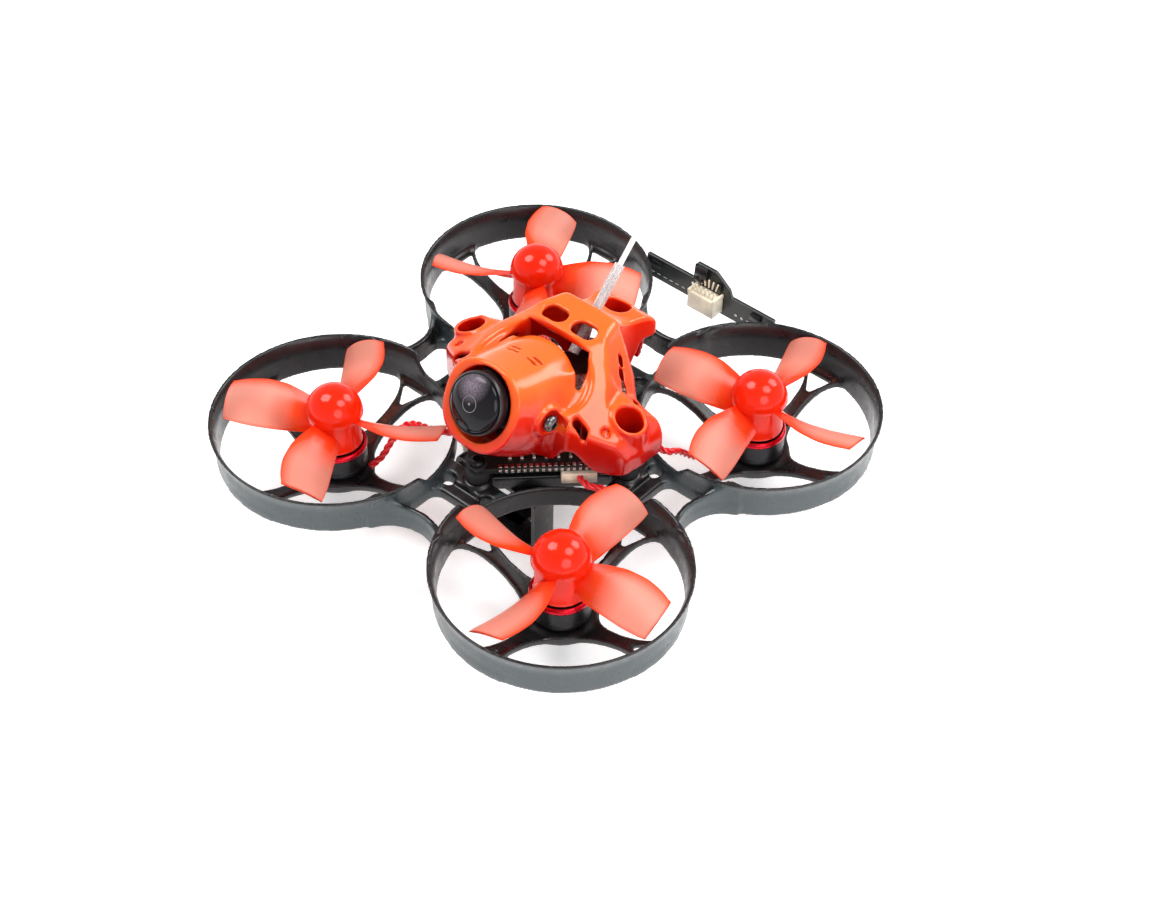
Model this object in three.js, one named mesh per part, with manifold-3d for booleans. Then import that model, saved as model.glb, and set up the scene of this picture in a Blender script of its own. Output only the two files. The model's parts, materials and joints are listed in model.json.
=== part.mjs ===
// A palm-sized ducted quadcopter with a 75 mm motor diagonal, in millimetres, +Z up.
// The nose faces -Y, so the craft's left is +X. The origin is the centre of the battery tray's
// underside, which is what the craft stands on.
import * as THREE from 'three';
import { mergeVertices } from 'three/addons/utils/BufferGeometryUtils.js';
import Module from 'manifold-3d';

const wasm = await Module();
wasm.setup();

// ---------------------------------------------------------------- driving dimensions
const MOTOR_DIAGONAL = 75;
const MOTOR_XY = MOTOR_DIAGONAL / 2 / Math.SQRT2;
const GAP = 0.3;

const DUCT_BOTTOM = 12.5;
const DUCT_HEIGHT = 7.5;
const DUCT_TOP = DUCT_BOTTOM + DUCT_HEIGHT;
const DUCT_BORE = 20.5;
const DUCT_WALL = 0.8;
const DUCT_LIP_RADIUS = 22.4;
const LOW_WALL_TOP = DUCT_BOTTOM + 4.3;
const LOW_WALL_HALF_ANGLE = Math.PI / 4;
const DUCT_OUTSIDE = DUCT_BORE + DUCT_WALL + 0.3;
const DUCT_SIDES = 40;

const MOUNT_RADIUS = 6.4;
const MOUNT_TOP = DUCT_BOTTOM - 4;
const MOUNT_THICKNESS = 1.6;
const MOUNT_SHAFT_HOLE = 1.5;
const MOUNT_SCREW_HOLE = 0.75;
const SCREW_CIRCLE = 3.3;
const LEG_THICKNESS = 1.4;

const BELL_RADIUS = 5.3;
const BELL_BOTTOM = MOUNT_TOP + 0.8;
const BELL_TOP = BELL_BOTTOM + 4.8;
const SHAFT_RADIUS = 0.5;

const PROP_RADIUS = 19.8;
const HUB_RADIUS = 4.7;
const HUB_BOTTOM = BELL_TOP + GAP;
const DOME_BOTTOM = DUCT_BOTTOM + 8.6;
const DOME_TOP = DUCT_BOTTOM + 13.4;
const BLADES = 4;

const BOARD_HOLE_SPACING = 26;
const POST_DISTANCE = BOARD_HOLE_SPACING / Math.SQRT2;
const POST_RADIUS = 2.3;
const BAR_DISTANCE = BOARD_HOLE_SPACING / 2;
const BAR_WIDTH = 3.2;
const SPIDER_TOP = DUCT_BOTTOM + 3;
const SPIDER_BOTTOM = DUCT_BOTTOM;
const BRIDGE_HALF_WIDTH = 13;
const BRIDGE_REACH = 40;
const BRIDGE_FILLET = 8.5;
const BRIDGE_MIDDLE = 32.3;
const BRIDGE_WALL = 1.1;

const BOARD_SIDE = 29;
const BOARD_BOTTOM = DUCT_BOTTOM + 5.9;
const BOARD_THICKNESS = 1;
const BOARD_HOLE = 1.2;
const RADIO_BOTTOM = BOARD_BOTTOM + 5;
const RADIO_HALF = 8;
const RADIO_Y = 3;

const TRAY_HALF_WIDTH = 9.6;
const TRAY_WALL = 1.1;
const TRAY_TOP = DUCT_BOTTOM - GAP;
const HOOP_Y = 11.5;
const HOOP_WIDTH = 5;

const CANOPY_BOTTOM = BOARD_BOTTOM + BOARD_THICKNESS + GAP;
const CANOPY_WALL = 0.9;
const PLATFORM_Y = 6.2;
const RECESS_RADIUS = 3.2;
const RECESS_FLOOR = CANOPY_BOTTOM + 1.6;

const CAMERA_TILT = THREE.MathUtils.degToRad(29);
const PIVOT = new THREE.Vector3(0, -10.6, DUCT_BOTTOM + 17.3);
const CAMERA_HALF = 5.4;
const LENS_RADIUS = 5.7;
const CAMERA_SCREW_SEAT = 9.5;

const AERIAL_FOOT = [0, 6.4, DUCT_BOTTOM + 16.2];
const AERIAL_TIP = [0, 22.4, DUCT_BOTTOM + 32.8];
const AERIAL_SPAN = new THREE.Vector3(...AERIAL_TIP).sub(new THREE.Vector3(...AERIAL_FOOT));
const AERIAL_TURN = new THREE.Quaternion().setFromUnitVectors(
  new THREE.Vector3(0, 0, 1),
  AERIAL_SPAN.clone().normalize(),
);

const REAR_BOARD_Y = 46.2;
const REAR_BOARD_HALF = 15.2;
const REAR_BOARD_BOTTOM = 2.4;
const REAR_BOARD_TOP = 7.4;
const REAR_TAB_TOP = 11.4;
const REAR_BOARD_THICKNESS = 0.8;
const SOCKET_SIZE = [6.4, 3.2, 4.4];
const SOCKET_MIDDLE = [0.4, 5.2];

const CORNERS = [
  { name: 'front_left', x: 1, y: -1, hand: 1, phase: 0 },
  { name: 'front_right', x: -1, y: -1, hand: -1, phase: 28 },
  { name: 'rear_left', x: 1, y: 1, hand: -1, phase: 8 },
  { name: 'rear_right', x: -1, y: 1, hand: 1, phase: 30 },
];

// ---------------------------------------------------------------- materials
const standard = (color, roughness, metalness) =>
  new THREE.MeshStandardMaterial({ color, roughness, metalness });
const MATERIALS = {
  frame: standard(0x202427, 0.45, 0),
  propeller: standard(0xff5044, 0.25, 0),
  canopy: standard(0xff4a10, 0.3, 0),
  bell: standard(0x1b1c1e, 0.35, 0.6),
  base: standard(0x151515, 0.5, 0.3),
  steel: standard(0x8d9094, 0.3, 1),
  wire: standard(0xd8141c, 0.4, 0),
  board: standard(0x101613, 0.45, 0),
  chip: standard(0x17171a, 0.4, 0),
  connector: standard(0xe8dcc4, 0.5, 0),
  rubber: standard(0x111111, 0.8, 0),
  camera: standard(0x131316, 0.35, 0),
  glass: standard(0x07070c, 0.05, 0),
  antenna: standard(0xf2ece8, 0.35, 0),
};

const model = new THREE.Group();

// ---------------------------------------------------------------- geometry helpers
function solid(geometry) {
  const plain = geometry.index ? geometry.toNonIndexed() : geometry.clone();
  plain.deleteAttribute('normal');
  plain.deleteAttribute('uv');
  const merged = mergeVertices(plain, 1e-4);
  const corners = merged.index.array;
  const kept = [];
  for (let i = 0; i < corners.length; i += 3) {
    const [a, b, c] = [corners[i], corners[i + 1], corners[i + 2]];
    if (a !== b && b !== c && c !== a) kept.push(a, b, c);
  }
  return new wasm.Manifold(new wasm.Mesh({
    numProp: 3,
    vertProperties: new Float32Array(merged.attributes.position.array),
    triVerts: new Uint32Array(kept),
  }));
}

function geometryOf(body) {
  const mesh = body.getMesh();
  const positions = new Float32Array(mesh.vertProperties);
  const geometry = new THREE.BufferGeometry();
  geometry.setAttribute('position', new THREE.BufferAttribute(positions, 3));
  geometry.setIndex(new THREE.BufferAttribute(new Uint32Array(mesh.triVerts), 1));
  return geometry;
}

function addNode(name, geometry, material, place) {
  const mesh = new THREE.Mesh(geometry, material);
  mesh.name = name;
  if (place) place(mesh);
  model.add(mesh);
  return mesh;
}

function at(x, y, z) {
  return (mesh) => mesh.position.set(x, y, z);
}

function unite(bodies) {
  return bodies.reduce((sum, body) => sum.add(body));
}

function prism(outline, bottom, top, curveSegments = 12) {
  const options = { depth: top - bottom, bevelEnabled: false, curveSegments };
  return new THREE.ExtrudeGeometry(outline, options).translate(0, 0, bottom);
}

function upright(radius, bottom, top, sides = 20, x = 0, y = 0) {
  const geometry = new THREE.CylinderGeometry(radius, radius, top - bottom, sides);
  return geometry.rotateX(Math.PI / 2).translate(x, y, (top + bottom) / 2);
}

function block(width, depth, height, x, y, z) {
  return new THREE.BoxGeometry(width, depth, height).translate(x, y, z);
}

function turned(profile, segments) {
  const points = profile.map(([radius, height]) => new THREE.Vector2(radius, height));
  return new THREE.LatheGeometry(points, segments).rotateX(Math.PI / 2);
}

function roundedRectangle(halfWidth, halfHeight, radius) {
  const shape = new THREE.Shape();
  shape.absarc(halfWidth - radius, halfHeight - radius, radius, 0, Math.PI / 2);
  shape.absarc(radius - halfWidth, halfHeight - radius, radius, Math.PI / 2, Math.PI);
  shape.absarc(radius - halfWidth, radius - halfHeight, radius, Math.PI, 1.5 * Math.PI);
  shape.absarc(halfWidth - radius, radius - halfHeight, radius, 1.5 * Math.PI, 2 * Math.PI);
  return shape;
}

function tubeAlong(points, radius, sides, steps) {
  const outline = new THREE.Shape();
  for (let i = 0; i < sides; i += 1) {
    const angle = (2 * Math.PI * i) / sides;
    const [x, y] = [radius * Math.cos(angle), radius * Math.sin(angle)];
    if (i === 0) outline.moveTo(x, y);
    else outline.lineTo(x, y);
  }
  const path = new THREE.CatmullRomCurve3(points.map((point) => new THREE.Vector3(...point)));
  return new THREE.ExtrudeGeometry(outline, { extrudePath: path, steps });
}

// A closed skin over rings of points, each ring counter-clockwise seen from the last ring's end.
function loft(rings) {
  const count = rings[0].length;
  const positions = rings.flat().flatMap((point) => [point.x, point.y, point.z]);
  const index = [];
  for (let row = 0; row + 1 < rings.length; row += 1) {
    for (let i = 0; i < count; i += 1) {
      const next = (i + 1) % count;
      const [a, b] = [row * count + i, row * count + next];
      index.push(a, b, b + count, a, b + count, a + count);
    }
  }
  for (const [row, flip] of [[0, true], [rings.length - 1, false]]) {
    const middle = rings[row].reduce((sum, point) => sum.add(point), new THREE.Vector3());
    middle.divideScalar(count);
    const centre = positions.length / 3;
    positions.push(middle.x, middle.y, middle.z);
    for (let i = 0; i < count; i += 1) {
      const [a, b] = [row * count + i, row * count + ((i + 1) % count)];
      index.push(...(flip ? [centre, b, a] : [centre, a, b]));
    }
  }
  const geometry = new THREE.BufferGeometry();
  geometry.setAttribute('position', new THREE.Float32BufferAttribute(positions, 3));
  geometry.setIndex(index);
  return geometry;
}

// ---------------------------------------------------------------- moulded frame
function ductRing() {
  return solid(turned([
    [DUCT_BORE, DUCT_BOTTOM],
    [DUCT_BORE + DUCT_WALL, DUCT_BOTTOM],
    [DUCT_OUTSIDE, DUCT_BOTTOM + 5.9],
    [DUCT_LIP_RADIUS, DUCT_TOP],
    [DUCT_LIP_RADIUS - 0.5, DUCT_TOP],
    [DUCT_BORE + 0.5, DUCT_BOTTOM + 6],
    [DUCT_BORE, DUCT_BOTTOM],
  ], DUCT_SIDES));
}

// The wedge that lowers the wall where the duct faces the middle of the craft.
function lowWallCut(towardsMiddle) {
  const reach = DUCT_LIP_RADIUS + 2;
  const wedge = new THREE.Shape();
  wedge.moveTo(0, 0);
  for (const turn of [-1, -0.5, 0, 0.5, 1]) {
    const angle = towardsMiddle + turn * LOW_WALL_HALF_ANGLE;
    wedge.lineTo(1.2 * reach * Math.cos(angle), 1.2 * reach * Math.sin(angle));
  }
  wedge.closePath();
  return solid(prism(wedge, LOW_WALL_TOP, DUCT_TOP + 1));
}

// One leg from the motor mount up to the duct's lower edge, forked round a small window.
function mountLeg() {
  const reach = DUCT_BORE + 0.4;
  const leg = new THREE.Shape();
  leg.moveTo(4, -4.4);
  leg.quadraticCurveTo(8, -1.6, 12.5, -1.3);
  leg.quadraticCurveTo(17, -1.6, reach, -5.2);
  leg.lineTo(reach, 5.2);
  leg.quadraticCurveTo(17, 1.6, 12.5, 1.3);
  leg.quadraticCurveTo(8, 1.6, 4, 4.4);
  leg.closePath();
  const window = new THREE.Path();
  window.moveTo(15.6, 0);
  window.lineTo(reach - 1.4, 2.6);
  window.lineTo(reach - 1.4, -2.6);
  window.closePath();
  leg.holes.push(window);
  const geometry = prism(leg, -LEG_THICKNESS, 0, 3);
  const place = geometry.attributes.position;
  const rise = DUCT_BOTTOM + LEG_THICKNESS - MOUNT_TOP;
  for (let i = 0; i < place.count; i += 1) {
    const past = (place.getX(i) - MOUNT_RADIUS) / (reach - MOUNT_RADIUS);
    const along = THREE.MathUtils.clamp(past, 0, 1);
    place.setZ(i, place.getZ(i) + MOUNT_TOP + rise * along);
  }
  return geometry;
}

function screwPlaces(corner) {
  const start = Math.atan2(corner.y, corner.x);
  return [0, 1, 2].map((i) => {
    const angle = start + (2 * Math.PI * i) / 3;
    return [SCREW_CIRCLE * Math.cos(angle), SCREW_CIRCLE * Math.sin(angle)];
  });
}

function buildDuct(corner) {
  const towardsMiddle = Math.atan2(-corner.y, -corner.x);
  let body = ductRing().subtract(lowWallCut(towardsMiddle));
  const mount = solid(upright(MOUNT_RADIUS, MOUNT_TOP - MOUNT_THICKNESS, MOUNT_TOP, 18));
  body = body.add(mount);
  for (let i = 0; i < 4; i += 1) {
    body = body.add(solid(mountLeg().rotateZ((i * Math.PI) / 2)));
  }
  body = body.subtract(solid(upright(MOUNT_SHAFT_HOLE, 0, MOUNT_TOP + 1, 10)));
  for (const [x, y] of screwPlaces(corner)) {
    body = body.subtract(solid(upright(MOUNT_SCREW_HOLE, 0, MOUNT_TOP + 1, 6, x, y)));
  }
  addNode(`duct_${corner.name}`, geometryOf(body), MATERIALS.frame,
    at(corner.x * MOTOR_XY, corner.y * MOTOR_XY, 0));
}

// The outline of one bridge between two neighbouring ducts, on the -Y side, before the ducts
// are cut away: a concave outer edge, and a window that leaves a rim all round.
function bridgeSolid() {
  const outer = new THREE.Shape();
  outer.moveTo(-BRIDGE_HALF_WIDTH, -BAR_DISTANCE);
  outer.lineTo(-BRIDGE_HALF_WIDTH, -BRIDGE_REACH);
  outer.lineTo(BRIDGE_HALF_WIDTH, -BRIDGE_REACH);
  outer.lineTo(BRIDGE_HALF_WIDTH, -BAR_DISTANCE);
  outer.closePath();
  const window = new THREE.Path();
  window.moveTo(-3.1, -30.2);
  window.quadraticCurveTo(0, -31.4, 3.1, -30.2);
  window.lineTo(3.0, -25.2);
  window.quadraticCurveTo(0, -24, -3.0, -25.2);
  window.closePath();
  outer.holes.push(window);
  const plate = solid(prism(outer, SPIDER_BOTTOM, SPIDER_TOP, 3));
  const wallHeight = DUCT_TOP - SPIDER_BOTTOM;
  const wallMiddle = SPIDER_BOTTOM + wallHeight / 2;
  const wall = solid(block(18, 6, wallHeight, 0, -BRIDGE_MIDDLE - 1.3, wallMiddle));
  const filletY = -BRIDGE_MIDDLE - BRIDGE_FILLET;
  const round = (radius) => solid(upright(radius, 0, DUCT_TOP + 1, 28, 0, filletY));
  const skirt = wall.intersect(round(BRIDGE_FILLET + BRIDGE_WALL));
  return plate.add(skirt).subtract(round(BRIDGE_FILLET));
}

// The four posts stand at the craft's left, rear, right and front, in that order.
function postPlaces() {
  return [0, 1, 2, 3].map((i) => {
    const angle = (i * Math.PI) / 2;
    return [POST_DISTANCE * Math.cos(angle), POST_DISTANCE * Math.sin(angle)];
  });
}

// The square spider in the middle: four bars between the posts that carry the flight board.
function spiderSolid() {
  const half = BAR_DISTANCE + 1.5;
  const square = roundedRectangle(half, half, 3);
  const inside = half - BAR_WIDTH;
  const opening = new THREE.Path(roundedRectangle(inside, inside, 2).getPoints(2));
  square.holes.push(opening);
  const bars = solid(prism(square, SPIDER_BOTTOM, SPIDER_TOP, 3).rotateZ(Math.PI / 4));
  const posts = postPlaces().map(([x, y]) => (
    solid(upright(POST_RADIUS, SPIDER_BOTTOM, SPIDER_TOP + 0.6, 14, x, y))
  ));
  return unite([bars, ...posts]);
}

function buildCentreFrame() {
  let body = spiderSolid();
  for (let i = 0; i < 4; i += 1) {
    const bridge = bridgeSolid();
    body = body.add(solid(geometryOf(bridge).rotateZ((i * Math.PI) / 2)));
  }
  for (const corner of CORNERS) {
    const [x, y] = [corner.x * MOTOR_XY, corner.y * MOTOR_XY];
    const clear = upright(DUCT_LIP_RADIUS + GAP, 0, DUCT_TOP + 1, DUCT_SIDES, x, y);
    body = body.subtract(solid(clear));
  }
  for (const [x, y] of postPlaces()) {
    body = body.subtract(solid(upright(0.8, 0, DUCT_TOP, 10, x, y)));
  }
  addNode('centre_frame', geometryOf(body), MATERIALS.frame);
}

function buildBatteryTray() {
  const outer = roundedRectangle(TRAY_HALF_WIDTH, TRAY_TOP / 2, 2);
  const hollow = roundedRectangle(TRAY_HALF_WIDTH - TRAY_WALL, TRAY_TOP / 2 - TRAY_WALL, 1.4);
  outer.holes.push(new THREE.Path(hollow.getPoints(3)));
  const hoop = () => prism(outer, -HOOP_WIDTH / 2, HOOP_WIDTH / 2, 3).rotateX(Math.PI / 2);
  const parts = [-HOOP_Y, HOOP_Y].map((y) => solid(hoop().translate(0, y, TRAY_TOP / 2)));
  parts.push(solid(block(7, 2 * HOOP_Y, TRAY_WALL, 0, 0, TRAY_WALL / 2)));
  addNode('battery_tray', geometryOf(unite(parts)), MATERIALS.frame);
}

// ---------------------------------------------------------------- motors and propellers
function buildMotor(corner) {
  const [x, y] = [corner.x * MOTOR_XY, corner.y * MOTOR_XY];
  const base = unite([
    solid(upright(4.9, MOUNT_TOP + 0.05, MOUNT_TOP + 0.55, 14)),
    solid(upright(4.1, MOUNT_TOP + 0.5, BELL_TOP - 1.1, 14)),
  ]).subtract(solid(upright(SHAFT_RADIUS + 0.2, 0, BELL_TOP, 8)));
  addNode(`motor_stator_${corner.name}`, geometryOf(base), MATERIALS.base, at(x, y, 0));

  // The bell and the shaft pressed into it turn as one piece.
  const rotor = turned([
    [0, MOUNT_TOP - 1],
    [SHAFT_RADIUS, MOUNT_TOP - 1],
    [SHAFT_RADIUS, BELL_TOP - 0.6],
    [BELL_RADIUS - 0.7, BELL_TOP - 0.6],
    [BELL_RADIUS - 0.7, BELL_BOTTOM],
    [BELL_RADIUS, BELL_BOTTOM],
    [BELL_RADIUS, BELL_TOP - 0.4],
    [BELL_RADIUS - 0.4, BELL_TOP],
    [SHAFT_RADIUS, BELL_TOP],
    [SHAFT_RADIUS, HUB_BOTTOM + 4.5],
    [0, HUB_BOTTOM + 4.5],
  ], 18);
  addNode(`motor_rotor_${corner.name}`, rotor, MATERIALS.bell, at(x, y, 0));

  screwPlaces(corner).forEach(([sx, sy], i) => {
    const under = MOUNT_TOP - MOUNT_THICKNESS;
    const screw = turned([
      [0, under - 0.75],
      [1.0, under - 0.75],
      [1.15, under - 0.1],
      [0.55, under - 0.1],
      [0.55, MOUNT_TOP - 0.15],
      [0, MOUNT_TOP - 0.15],
    ], 7);
    addNode(`motor_screw_${corner.name}_${i + 1}`, screw, MATERIALS.steel, at(x + sx, y + sy, 0));
  });
}

// Stations along a blade: radius, chord, pitch in degrees, sweep of the mid-chord, mid height.
const BLADE_STATIONS = [
  [HUB_RADIUS - 0.8, 6.2, 46, 0.0, 6.5],
  [8, 8.6, 39, 0.7, 6.9],
  [12, 9.8, 32, 0.9, 7.2],
  [17.4, 9.0, 24.5, 0.1, 7.6],
  [PROP_RADIUS, 6.6, 22, -0.7, 7.7],
];
const BLADE_THICKNESS = 0.6;

function bladeGeometry(hand) {
  const across = [-0.5, 0, 0.5];
  const rings = BLADE_STATIONS.map(([radius, chord, pitch, sweep, height]) => {
    const angle = THREE.MathUtils.degToRad(pitch);
    const skin = (fraction, side) => {
      const camber = 0.09 * chord * (1 - 4 * fraction * fraction);
      const lift = camber + side * (BLADE_THICKNESS / 2) * (1.15 - 2 * Math.abs(fraction));
      const flat = fraction * chord;
      const sideways = flat * Math.cos(angle) - lift * Math.sin(angle) + sweep;
      const up = flat * Math.sin(angle) + lift * Math.cos(angle) + DUCT_BOTTOM + height;
      const lag = sideways / PROP_RADIUS;
      const inward = radius === PROP_RADIUS ? radius * (1 - Math.cos(lag)) : 0;
      return new THREE.Vector3(radius - inward, hand * sideways, up);
    };
    const top = across.map((fraction) => skin(fraction, 1)).reverse();
    const bottom = across.map((fraction) => skin(fraction, -1));
    return hand > 0 ? [...top, ...bottom] : [...top, ...bottom].reverse();
  });
  return loft(rings);
}

function buildPropeller(corner) {
  const dome = [];
  for (let i = 0; i <= 4; i += 1) {
    const angle = (i / 4) * (Math.PI / 2);
    const rise = (DOME_TOP - DOME_BOTTOM) * Math.sin(angle);
    dome.push([i === 4 ? 0 : (HUB_RADIUS + 0.1) * Math.cos(angle), DOME_BOTTOM + rise]);
  }
  let body = solid(turned([
    [0, HUB_BOTTOM],
    [BELL_RADIUS - 0.1, HUB_BOTTOM],
    [BELL_RADIUS - 0.1, HUB_BOTTOM + 0.8],
    [HUB_RADIUS - 0.1, HUB_BOTTOM + 1.4],
    [HUB_RADIUS - 0.1, DOME_BOTTOM - 0.3],
    ...dome,
  ], 20));
  for (let i = 0; i < BLADES; i += 1) {
    const blade = solid(bladeGeometry(corner.hand).rotateZ((i * 2 * Math.PI) / BLADES));
    body = body.add(blade);
  }
  body = body.subtract(solid(upright(SHAFT_RADIUS + 0.12, 0, HUB_BOTTOM + 4.8, 8)));
  addNode(`propeller_${corner.name}`, geometryOf(body), MATERIALS.propeller, (mesh) => {
    mesh.position.set(corner.x * MOTOR_XY, corner.y * MOTOR_XY, 0);
    mesh.rotation.z = THREE.MathUtils.degToRad(corner.phase);
  });
}

// ---------------------------------------------------------------- flight electronics
// Places under the flight board's edges where each motor's three-wire plug sits.
const PLUGS = {
  front_left: { x: 13.0, y: -6.6 },
  front_right: { x: -7.4, y: -12.2 },
  rear_left: { x: 13.0, y: 6.6 },
  rear_right: { x: -7.4, y: 12.2 },
};
const PLUG_SIZE = [6.2, 3.4, 2.2];
const PLUG_BOTTOM = BOARD_BOTTOM - 0.05 - PLUG_SIZE[2];
const LEAD_RADIUS = 0.7;
const LEAD_END_Z = LOW_WALL_TOP + 0.95;

// Each route runs from the foot of the motor, over the low duct wall, to just outside the plug.
const LEAD_ROUTES = {
  front_left: [[24.8, -20.3, 9.8], [24.5, -17, 10.8], [24.2, -12.4, 13.8], [23.6, -8.8, 16.7],
    [22.2, -6.9, 17.7], [19.4, -7.0, 17.8], [16.6, -8.2, 17.75]],
  front_right: [[-20.6, -24.4, 9.6], [-20.0, -21.9, 10.8], [-19.8, -19.6, 13.0], [-19.2, -17.2, 15.2],
    [-17.4, -16.0, 16.2], [-14.4, -15.6, 16.8], [-11.4, -15.0, 17.45]],
  rear_left: [[24.7, 20.0, 10.0], [23.6, 17.2, 10.9], [22.7, 13.2, 13.4], [22.0, 9.8, 16.6],
    [21.2, 7.5, 17.7], [18.8, 7.2, 17.8], [16.4, 8.2, 17.75]],
  rear_right: [[-20.6, 24.4, 9.6], [-19.6, 21.6, 11.2], [-18.0, 18.8, 14.2], [-16.2, 17.0, 16.1],
    [-13.6, 15.8, 16.9], [-11.2, 14.9, 17.45]],
};

function buildFlightBoard() {
  const board = roundedRectangle(BOARD_SIDE / 2, BOARD_SIDE / 2, 2);
  for (const [sx, sy] of [[1, 1], [-1, 1], [-1, -1], [1, -1]]) {
    const path = new THREE.Path();
    path.absarc(sx * BAR_DISTANCE, sy * BAR_DISTANCE, BOARD_HOLE, 0, 2 * Math.PI, true);
    board.holes.push(path);
  }
  const flat = prism(board, BOARD_BOTTOM, BOARD_BOTTOM + BOARD_THICKNESS, 5).rotateZ(Math.PI / 4);
  addNode('flight_board', flat, MATERIALS.board);
  const top = BOARD_BOTTOM + BOARD_THICKNESS + 0.05;
  addNode('processor_chip', block(7, 7, 0.9, 0, 0, top + 0.45).rotateZ(Math.PI / 4), MATERIALS.chip);

  const radio = roundedRectangle(RADIO_HALF, RADIO_HALF, 1.5);
  const radioFlat = prism(radio, RADIO_BOTTOM, RADIO_BOTTOM + 0.8, 3).rotateZ(Math.PI / 4);
  addNode('radio_board', radioFlat.translate(0, RADIO_Y, 0), MATERIALS.board);

  postPlaces().forEach(([x, y], i) => {
    const name = ['left', 'rear', 'right', 'front'][i];
    const bottom = SPIDER_TOP + 0.65;
    const top = CANOPY_BOTTOM - 0.05;
    const grommet = turned([
      [0.75, bottom],
      [2.1, bottom],
      [2.1, BOARD_BOTTOM - 0.05],
      [BOARD_HOLE - 0.08, BOARD_BOTTOM - 0.05],
      [BOARD_HOLE - 0.08, BOARD_BOTTOM + BOARD_THICKNESS + 0.05],
      [1.9, BOARD_BOTTOM + BOARD_THICKNESS + 0.05],
      [1.9, top],
      [0.75, top],
      [0.75, bottom],
    ], 10);
    addNode(`rubber_grommet_${name}`, grommet, MATERIALS.rubber, at(x, y, 0));
    const seat = name === 'front' ? CANOPY_BOTTOM : RECESS_FLOOR;
    const screw = turned([
      [0, SPIDER_BOTTOM + 0.6],
      [0.6, SPIDER_BOTTOM + 0.6],
      [0.6, seat + 0.05],
      [1.4, seat + 0.05],
      [1.4, seat + 0.7],
      [0.9, seat + 1.05],
      [0, seat + 1.05],
    ], 8);
    addNode(`stack_screw_${name}`, screw, MATERIALS.steel, at(x, y, 0));
  });
}

function buildPlugsAndLeads() {
  for (const corner of CORNERS) {
    const { x, y } = PLUGS[corner.name];
    const outward = Math.atan2(corner.y, corner.x);
    const plug = new THREE.BoxGeometry(...PLUG_SIZE);
    addNode(`motor_plug_${corner.name}`, plug, MATERIALS.connector, (mesh) => {
      mesh.position.set(x, y, PLUG_BOTTOM + PLUG_SIZE[2] / 2);
      mesh.rotation.z = outward - Math.PI / 2;
    });
    const reach = PLUG_SIZE[1] / 2 + 1.5 * GAP;
    const end = [x + reach * Math.cos(outward), y + reach * Math.sin(outward), LEAD_END_Z];
    const lead = tubeAlong([...LEAD_ROUTES[corner.name], end], LEAD_RADIUS, 8, 14);
    addNode(`motor_lead_${corner.name}`, lead, MATERIALS.wire);
  }
}

// ---------------------------------------------------------------- camera
function buildCamera() {
  const axis = (mesh) => {
    mesh.position.copy(PIVOT);
    mesh.rotation.x = -CAMERA_TILT;
  };
  const side = roundedRectangle(CAMERA_HALF, CAMERA_HALF, 1.5);
  const housing = prism(side, -2.2, 3.6, 3).rotateX(Math.PI / 2);
  let body = solid(housing);
  for (const sign of [-1, 1]) {
    const hole = new THREE.CylinderGeometry(0.75, 0.75, 6, 10).rotateZ(Math.PI / 2);
    body = body.subtract(solid(hole.translate(sign * (CAMERA_HALF + 0.5), 0, 0)));
  }
  addNode('camera_housing', geometryOf(body), MATERIALS.camera, axis);

  const barrel = turned([
    [0, 3.75],
    [4.4, 3.75],
    [4.4, 4.8],
    [LENS_RADIUS, 5.6],
    [LENS_RADIUS, 7.2],
    [LENS_RADIUS - 0.5, 7.5],
    [LENS_RADIUS - 0.8, 7.1],
    [0, 7.1],
  ], 22).rotateX(Math.PI / 2);
  addNode('lens_barrel', barrel, MATERIALS.camera, axis);

  const glass = [[0, 7.2]];
  for (let i = 0; i <= 4; i += 1) {
    const angle = (i / 4) * (Math.PI / 2);
    glass.push([i === 4 ? 0 : 4.7 * Math.cos(angle), 7.25 + 1.9 * Math.sin(angle)]);
  }
  addNode('lens_glass', turned(glass, 18).rotateX(Math.PI / 2), MATERIALS.glass, axis);

  for (const [name, sign] of [['left', 1], ['right', -1]]) {
    const screw = turned([
      [0, CAMERA_HALF - 2.2],
      [0.6, CAMERA_HALF - 2.2],
      [0.6, CAMERA_SCREW_SEAT],
      [1.5, CAMERA_SCREW_SEAT],
      [1.5, CAMERA_SCREW_SEAT + 0.7],
      [0.9, CAMERA_SCREW_SEAT + 1.3],
      [0, CAMERA_SCREW_SEAT + 1.3],
    ], 12).rotateY((sign * Math.PI) / 2);
    addNode(`camera_screw_${name}`, screw, MATERIALS.steel, axis);
  }
}

// ---------------------------------------------------------------- canopy
// Levels of the canopy skin above the duct's lower edge: height, middle's Y, and the reach of
// its side lobes, rear lobe, nose and diagonals.
const CANOPY_LEVELS = [
  [7.2, 0, 21.0, 21.6, 13.0, 13.6],
  [11, 0, 21.4, 22.2, 13.4, 13.4],
  [15.6, 0, 20.2, 22.2, 13.0, 12.6],
  [17.6, 1.0, 17.6, 21.2, 12.0, 12.0],
  [20.0, 3.2, 13.6, 17.6, 10.6, 10.6],
  [22.4, 5.4, 9.6, 9.0, 8.0, 8.4],
  [24.4, PLATFORM_Y, 8.0, 5.4, 5.6, 6.8],
];
const CANOPY_COLUMNS = 36;

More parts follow.
